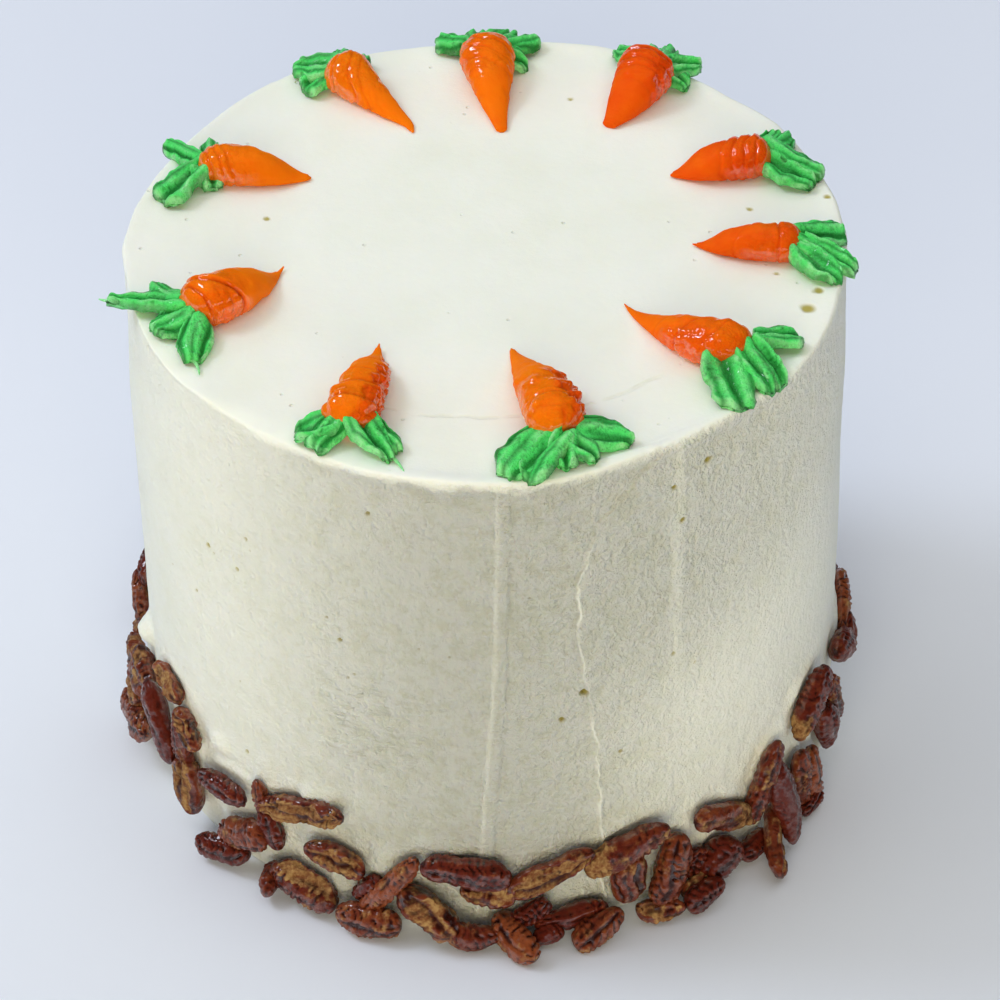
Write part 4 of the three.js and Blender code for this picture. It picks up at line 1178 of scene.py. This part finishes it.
def thread_shape(start, end, sizes, rows=12, around=10):
    """Rings of a thin thread of icing that tapers away, and its marks."""
    along, turn = ring_grid(np.linspace(0, 1, rows), around)
    start, end = np.array(start, float), np.array(end, float)
    radius = THREAD_TAPER * (1 - along) ** 0.7 + 0.14
    across = radius * np.cos(turn) + 0.3 * np.sin(along * 3)
    height = sizes.height_mm + 0.5 + radius * np.sin(turn) + 0.6 * (1 - along)
    run = along * np.linalg.norm(end - start)
    return on_the_way(start, end, run, across, height), {"edge": 1.0, "groove": 0.0}


# ------------------------------------------------------------------ pecans


def back_clusters(sizes):
    """The clusters round the back, drawn in the same order as the solids' own."""
    stream = random_stream(4451)
    looks = random_stream(90)

    def between(low, high):
        return low + (high - low) * next(stream)

    def look():
        return BACK_LOOKS[int(next(looks) * len(BACK_LOOKS)) % len(BACK_LOOKS)]

    clusters = []
    foot_radius = sizes.radius_mm + FOOT_SPREAD
    for i in range(BACK_CLUSTERS):
        middle = BACK_START + (BACK_END - BACK_START) * (i + 0.5) / BACK_CLUSTERS
        side = -1 if next(stream) < 0.5 else 1
        slope = between(26, 72)
        length = between(20, 26)
        rise = length / 2 * math.sin(math.radians(slope))
        reach = math.degrees(length / 2 * math.cos(math.radians(slope)) / foot_radius)
        foot = middle + side * between(-3.2, -2.2)
        upper = (foot + side * reach, 7 + rise, side * slope, length, between(7.5, 10),
                 between(4.5, 5.5), -side * between(0, 12), look())
        lower = (foot + between(-1, 1), between(5, 6), between(-8, 8), between(16, 20),
                 between(8.5, 10), between(5.5, 7), between(-14, 14), look())
        if i % 3 == 0:
            third = (foot + side * 1.7 * reach, 7 + 1.7 * rise, -side * between(10, 45),
                     between(14, 18), between(6.5, 8.5), between(4.2, 4.8), 0, look())
        else:
            third = (foot + side * 6, between(4.5, 6), between(-20, 20), between(14, 18),
                     between(7, 9), between(5.5, 6.5), between(-8, 8), look())
        clusters.append([upper, lower, third])
    return clusters


def all_clusters(sizes):
    """Every cluster of pecans, anticlockwise from the left of the front, then the back's."""
    return FRONT_CLUSTERS + back_clusters(sizes)


def pecan_grid(pecan, seed, rows=42, around=44):
    """A smooth pecan: depth and beside are how far its points stand off its long axis."""
    length, width = pecan[3:5]
    thick = width * PECAN_THICKNESS
    share, turn = ring_grid(eased_shares(rows, 0.012, 0.5), around)
    spot = np.stack([share * length, np.cos(turn) * thick / 2, np.sin(turn) * width / 2], -1)
    spot = spot + seed * 13.7
    swell = np.clip(1 - np.abs(2 * share - 1) ** 2.8, 0, 1) ** 0.5
    swell = swell * (1 - 0.14 * math.sin(seed * 3.7) * (2 * share - 1))
    swell = swell * (1 + 0.13 * bumps(spot, (6, 7, 7), 51))
    wander = 0.45 * math.sin(seed * 5.3) + 0.2 * np.sin(share * 5 + seed)
    wander = wander + 0.15 * bumps(spot * [1, 0, 0], (4, 1, 1), 52)
    return SimpleNamespace(
        length=length, width=width, thick=thick, share=share, spot=spot, turn=turn - wander,
        depth=np.cos(turn) * thick / 2 * swell, beside=np.sin(turn) * width / 2 * swell)


def pecan_relief(look, grid):
    """(relief, grooves, lumps) of a pecan: lengthwise grooves, ribs across, and lumps."""
    share, spot = grid.share, grid.spot
    grooves = np.zeros_like(share)
    for middle, deep, wide in PECAN_GROOVES:
        grooves = np.maximum(grooves, deep * dome(nearest_turn(grid.turn - middle, FULL_TURN), wide))
    grooves *= window(share, 0.02, 0.14, 0.86, 0.98)
    across = share * grid.length + np.abs(nearest_turn(grid.turn, FULL_TURN))
    across += 1.7 * bumps(spot, (4, 2.6, 2.6), 58) + 0.5 * bumps(spot, 1.6, 60)
    ribs = np.abs(np.sin(np.pi * across / PECAN_RIB_SPACING)) ** 0.8 - 0.6
    ribs *= np.clip(0.65 + 0.9 * bumps(spot, (5, 3, 3), 59), 0.1, 1.3)
    lumps = 0.65 * bumps(spot, (3.6, 2.8, 2.8), 53) + 0.4 * bumps(spot, (1.8, 1.4, 1.4), 54)
    relief = 0.9 * look.ribs * ribs - 1.1 * look.grooves * grooves + 0.8 * look.lumps * lumps
    return relief + 0.14 * bumps(spot, (0.8, 0.9, 0.9), 55), grooves, lumps


def cut_pecan(look, grid, depth, beside, unevenness):
    """(depth, beside, how far each point stood past the cut face) of a pecan that is cut."""
    way, deep = math.radians(look.cut[0]), look.cut[1]
    reach = math.hypot(math.cos(way) * grid.thick / 2, math.sin(way) * grid.width / 2)
    level = reach * deep + unevenness
    level = level + 1.1 * bumps(grid.spot, (3.0, 2.0, 2.0), 57)
    level = level + 0.3 * bumps(grid.spot, (1.1, 1, 1), 61)
    ahead = depth * math.cos(way) + beside * math.sin(way) - level
    back = np.maximum(ahead, 0) * 0.9
    return depth - back * math.cos(way), beside - back * math.sin(way), ahead


def set_pecan(pecan, sizes, seed, grid, depth, beside):
    """A pecan's rings pressed into the side at its place, slope and lean."""
    azimuth, height, turn, length, _width, stand_off, lean, _kind = pecan
    spin, tilt = math.radians(turn), math.radians(lean)
    out, right, upright = outwards(azimuth), outwards(azimuth + 90), np.array([0, 0, 1.0])
    level_way = right * math.cos(spin) + upright * math.sin(spin)
    axis = level_way * math.cos(tilt) + out * math.sin(tilt)
    face = out * math.cos(tilt) - level_way * math.sin(tilt)
    flank = np.cross(face, axis)
    centre = out * (float(solid_radius(azimuth, height, sizes)) + stand_off) + upright * height
    along = 2 * grid.share - 1
    beside = beside + math.sin(seed * 2.1) * (0.8 * (1 - along**2) - 0.4)
    place = centre + sum(way * amount[..., None] for way, amount in (
        (axis, along * length / 2), (flank, beside), (face, depth)))
    reach, side = reach_and_side(place, place[..., 2], sizes)
    place[..., :2] *= np.maximum((side - PECAN_SUNK) / reach, 1)[..., None]
    place[..., 2] = np.maximum(place[..., 2], 0)
    return place


def pecan_shape(pecan, sizes, seed):
    """One pecan half or piece of one: its rings from end to end, and its marks."""
    look = LOOKS[pecan[-1]]
    grid = pecan_grid(pecan, seed)
    share, spot = grid.share, grid.spot
    relief, grooves, lumps = pecan_relief(look, grid)
    size = np.hypot(grid.depth, grid.beside) + 1e-6
    swell = 1 + np.clip(relief, -1.4, 1.2) * smooth_step(0, 2.2, size) / size
    swell = np.clip(swell, 0.25, 1.5)
    depth, beside = grid.depth * swell, grid.beside * swell
    patches = look.patches and look.patches + 0.8 * bumps(spot, (3, 2.4, 2.4), 56)
    flesh = np.clip(patches, 0, 1) * 0.8 * np.ones_like(share)
    if look.cut:
        depth, beside, ahead = cut_pecan(look, grid, depth, beside, 0.35 * lumps - 0.7 * grooves)
        flesh = np.maximum(flesh, smooth_step(0.0, 0.9, ahead) * (1 - 0.6 * grooves))
    if look.tip:
        bared = smooth_step(*look.tip, share + 0.12 * bumps(spot, (3, 2.4, 2.4), 62))
        flesh = np.maximum(flesh, 0.9 * bared)
    ends = np.clip(np.abs(share - 0.5) * 2 - 0.9, 0, 1) / 0.1
    # Mark for the painted highlight on the ridges and the painted shade in the hollows; the ends are
    # pushed towards the shade.
    ridge_highlight_hollow_shade = np.clip(relief / 0.8 - 0.5 * ends, -1, 1)
    rings = set_pecan(pecan, sizes, seed, grid, depth, beside)
    return rings, {"flesh": (flesh, 0, 0), "relief": (ridge_highlight_hollow_shade, -0.5, -0.5), "tone": look.tone}


# ------------------------------------------------------------------ settings


def length_setting(name, description, default, low, high):
    """A length in metres that a user can change."""
    return bpy.props.FloatProperty(
        name=name, description=description, default=default, min=low, max=high, unit="LENGTH")


def angle_setting(name, description, default):
    """An angle that a user can change; its default is in degrees."""
    return bpy.props.FloatProperty(
        name=name, description=description, default=math.radians(default), subtype="ANGLE")


def colour_setting(name, description, default):
    """A colour that a user can change."""
    return bpy.props.FloatVectorProperty(
        name=name, description=description, default=default, min=0, max=1, subtype="COLOR")


class CarrotCakeSizes(bpy.types.PropertyGroup):
    """Sizes of the cake."""

    height: length_setting("Height", "Height of the frosted cake", 0.158, 0.1, 0.25)
    radius: length_setting("Radius", "Mean radius at the top", 0.0952, 0.05, 0.2)
    rim: length_setting("Rim rounding", "Rounding of the top edge", 0.0011, 0.001, 0.01)

    @property
    def height_mm(self):
        return self.height / MM

    @property
    def radius_mm(self):
        return self.radius / MM

    @property
    def rim_mm(self):
        return self.rim / MM


class CarrotCakeColours(bpy.types.PropertyGroup):
    """Colours of the cake's finishes."""

    frosting: colour_setting("Frosting", "Cream-cheese frosting", (0.922, 0.943, 0.846))
    # Duller streaks, and the painted shade of the frosting's low spots
    frosting_streak_and_shade: colour_setting(
        "Frosting shade", "Duller streaks of the frosting", (0.847, 0.861, 0.724))
    # Painted shade inside the air holes and along the ring on the top
    frosting_recess_shade: colour_setting("Frosting pit", "Inside of an air hole", (0.46, 0.39, 0.10))
    carrot_light: colour_setting("Carrot light", "Yellow orange icing", (0.97, 0.205, 0.004))
    carrot_deep: colour_setting("Carrot deep", "Red orange icing", (0.80, 0.075, 0.004))
    # Painted shade in the creases and folds
    carrot_crease_shade: colour_setting("Carrot crease", "Icing deep in a fold", (0.66, 0.055, 0.004))
    leaf: colour_setting("Leaf", "Green icing", (0.085, 0.82, 0.165))
    # Darker mottling, and the painted shade in the grooves
    leaf_mottle_and_groove_shade: colour_setting("Leaf dark", "Green icing in the grooves", (0.002, 0.11, 0.008))
    # Pale torn edges, and the painted highlight on the crests
    leaf_pale_edge_and_highlight: colour_setting("Leaf pale", "Green icing at torn edges", (0.42, 0.95, 0.44))
    pecan_dark: colour_setting("Pecan dark", "Dark red skin", (0.105, 0.013, 0.006))
    pecan_brown: colour_setting("Pecan brown", "Orange brown skin", (0.24, 0.058, 0.018))
    # Painted highlight on the ridges
    pecan_ridge_highlight: colour_setting("Pecan ridge", "Skin worn light on the ridges", (0.33, 0.10, 0.036))
    # Painted shade in the grooves and hollows
    pecan_hollow_shade: colour_setting("Pecan hollow", "Skin in the grooves", (0.028, 0.005, 0.003))
    pecan_flesh: colour_setting("Pecan flesh", "Broken pecan", (0.42, 0.25, 0.095))
    pecan_toast: colour_setting("Pecan toast", "Browned broken pecan", (0.19, 0.07, 0.026))
    floor: colour_setting("Floor", "Plain pale floor", (0.808, 0.848, 0.938))


class CarrotCakeStage(bpy.types.PropertyGroup):
    """Camera and lights."""

    lens: bpy.props.FloatProperty(
        name="Lens", description="Focal length in mm", default=150.0, min=20, max=300)
    elevation: angle_setting("Elevation", "Camera's angle above level", 41.116)
    roll: angle_setting("Roll", "Camera's roll", -0.882)
    light: bpy.props.FloatProperty(
        name="Light", description="Strength of all the lamps", default=1.0, min=0)


def settings():
    """The scene's own sizes, colours and stage."""
    scene = bpy.context.scene
    return scene.carrot_cake_sizes, scene.carrot_cake_colours, scene.carrot_cake_stage


# ------------------------------------------------------------------ operators


class CARROTCAKE_OT_frosting(bpy.types.Operator):
    """Build the frosted body of the cake"""

    bl_idname = "carrotcake.frosting"
    bl_label = "Frosting"

    def execute(self, context):
        sizes, colours, _stage = settings()
        pecans = [pecan for cluster in all_clusters(sizes) for pecan in cluster]
        shape, marks = frosting_shape(sizes, pecans)
        points = shape.reshape(-1, 3)
        faces = grid_faces(*shape.shape[:2], closed=True)
        piece = build_mesh("frosting", points, faces, {**marks, "recess_shade": np.zeros(len(points))})
        sink_holes(piece, hole_places(sizes))
        with edited(piece) as body:
            bmesh.ops.remove_doubles(body, verts=body.verts, dist=1e-6)
        finish_piece(piece, frosting_finish(colours), "cake")
        return {"FINISHED"}


class CARROTCAKE_OT_carrots(bpy.types.Operator):
    """Build the ten piped carrots"""

    bl_idname = "carrotcake.carrots"
    bl_label = "Carrots"

    def execute(self, context):
        sizes, colours, _stage = settings()
        material = carrot_finish(colours)
        for index, carrot in enumerate(CARROTS, 1):
            piece = joined_tubes(f"piped_carrot_{index:02d}", [carrot_shape(carrot, sizes)])
            finish_piece(piece, material, f"carrot_{index:02d}")
        return {"FINISHED"}


class CARROTCAKE_OT_leaves(bpy.types.Operator):
    """Build the tuft of leaves at each carrot's crown"""

    bl_idname = "carrotcake.leaves"
    bl_label = "Leaves"

    def execute(self, context):
        sizes, colours, _stage = settings()
        material = leaf_finish(colours)
        for index, tuft in enumerate(TUFTS, 1):
            tubes = [leaf_shape(leaf, sizes, index * 1.9 + number * 0.83)
                     for number, leaf in enumerate(tuft)]
            tubes += [thread_shape(start, end, sizes)
                      for tuft_number, start, end in LEAF_TAILS if tuft_number == index]
            piece = joined_tubes(f"leaf_tuft_{index:02d}", tubes)
            finish_piece(piece, material, f"leaves_{index:02d}")
        return {"FINISHED"}


class CARROTCAKE_OT_pecans(bpy.types.Operator):
    """Build the border of pecans round the foot"""

    bl_idname = "carrotcake.pecans"
    bl_label = "Pecans"

    def execute(self, context):
        sizes, colours, _stage = settings()
        material = pecan_finish(colours)
        for index, cluster in enumerate(all_clusters(sizes), 1):
            tubes = [pecan_shape(pecan, sizes, index + number * 0.37)
                     for number, pecan in enumerate(cluster)]
            piece = joined_tubes(f"pecan_halves_{index:02d}", tubes)
            finish_piece(piece, material, f"pecans_{index:02d}")
        return {"FINISHED"}


class CARROTCAKE_OT_stage(bpy.types.Operator):
    """Set up the floor, the lights and the camera"""

    bl_idname = "carrotcake.stage"
    bl_label = "Stage"

    def execute(self, context):
        _sizes, colours, stage = settings()
        self.floor(colours)
        for lamp in LAMPS:
            self.light(*lamp, stage.light)
        self.backdrop()
        self.camera(stage)
        context.scene.view_settings.view_transform = "Standard"
        return {"FINISHED"}

    @staticmethod
    def floor(colours):
        corners = [(-1, -1, 0), (1, -1, 0), (1, 1, 0), (-1, 1, 0)]
        plane = build_mesh("floor", np.array(corners) * FLOOR_REACH, [(0, 1, 2, 3)])
        look = Finish("floor", Roughness=0.6)
        shade = [c * 0.97 for c in colours.floor]
        look.feed("Base Color", look.mix(look.noise(180, 2), colours.floor, shade))
        plane.data.materials.append(look.material)

    @staticmethod
    def light(name, place, target, size, watts, colour, mirrored, strength):
        lamp = bpy.data.lights.new(name, "AREA")
        lamp.shape, lamp.size, lamp.energy, lamp.color = "DISK", size, watts * strength, colour
        holder = bpy.data.objects.new(name, lamp)
        holder.location = place
        holder.visible_glossy = mirrored
        holder.rotation_euler = (Vector(target) - Vector(place)).to_track_quat("-Z", "Y").to_euler()
        bpy.context.scene.collection.objects.link(holder)

    @staticmethod
    def backdrop():
        """A pale surround that the camera sees past the floor and that lights nothing."""
        world = bpy.data.worlds.new("backdrop")
        world.use_nodes = True
        world.node_tree.nodes["Background"].inputs["Color"].default_value = BACKDROP
        bpy.context.scene.world = world
        world.cycles_visibility.diffuse = world.cycles_visibility.glossy = False

    @staticmethod
    def camera(stage):
        """A long lens that looks down on the cake's front."""
        lens = bpy.data.cameras.new("camera")
        lens.lens, lens.sensor_width, lens.clip_end = stage.lens, SENSOR_WIDTH, 50
        eye = bpy.data.objects.new("camera", lens)
        right = Vector((1, 0, 0))
        ahead = Vector((0, math.cos(stage.elevation), -math.sin(stage.elevation)))
        up = Vector((0, math.sin(stage.elevation), math.cos(stage.elevation)))
        level = right * math.cos(stage.roll) + up * math.sin(stage.roll)
        top = up * math.cos(stage.roll) - right * math.sin(stage.roll)
        turn = Matrix((level, top, -ahead)).transposed().to_4x4()
        eye.matrix_world = Matrix.Translation(CAMERA_PLACE) @ turn
        bpy.context.scene.collection.objects.link(eye)
        bpy.context.scene.camera = eye


class CARROTCAKE_PT_panel(bpy.types.Panel):
    """The steps that dress the cake"""

    bl_idname = "CARROTCAKE_PT_panel"
    bl_label = "Carrot Cake"
    bl_space_type = "VIEW_3D"
    bl_region_type = "UI"
    bl_category = "Carrot Cake"

    def draw(self, context):
        for step in STEPS:
            self.layout.operator(step.bl_idname)
        for group in settings():
            box = self.layout.box()
            for name in group.__annotations__:
                box.prop(group, name)


STEPS = (
    CARROTCAKE_OT_frosting,
    CARROTCAKE_OT_carrots,
    CARROTCAKE_OT_leaves,
    CARROTCAKE_OT_pecans,
    CARROTCAKE_OT_stage,
)
GROUPS = {
    "carrot_cake_sizes": CarrotCakeSizes,
    "carrot_cake_colours": CarrotCakeColours,
    "carrot_cake_stage": CarrotCakeStage,
}
CLASSES = (*GROUPS.values(), *STEPS, CARROTCAKE_PT_panel)


def register():
    for cls in CLASSES:
        bpy.utils.register_class(cls)
    for name, group in GROUPS.items():
        setattr(bpy.types.Scene, name, bpy.props.PointerProperty(type=group))


def unregister():
    for name in GROUPS:
        delattr(bpy.types.Scene, name)
    for cls in reversed(CLASSES):
        bpy.utils.unregister_class(cls)


def main():
    register()
    bpy.ops.carrotcake.frosting()
    bpy.ops.carrotcake.carrots()
    bpy.ops.carrotcake.leaves()
    bpy.ops.carrotcake.pecans()
    bpy.ops.carrotcake.stage()


if __name__ == "__main__":
    main()
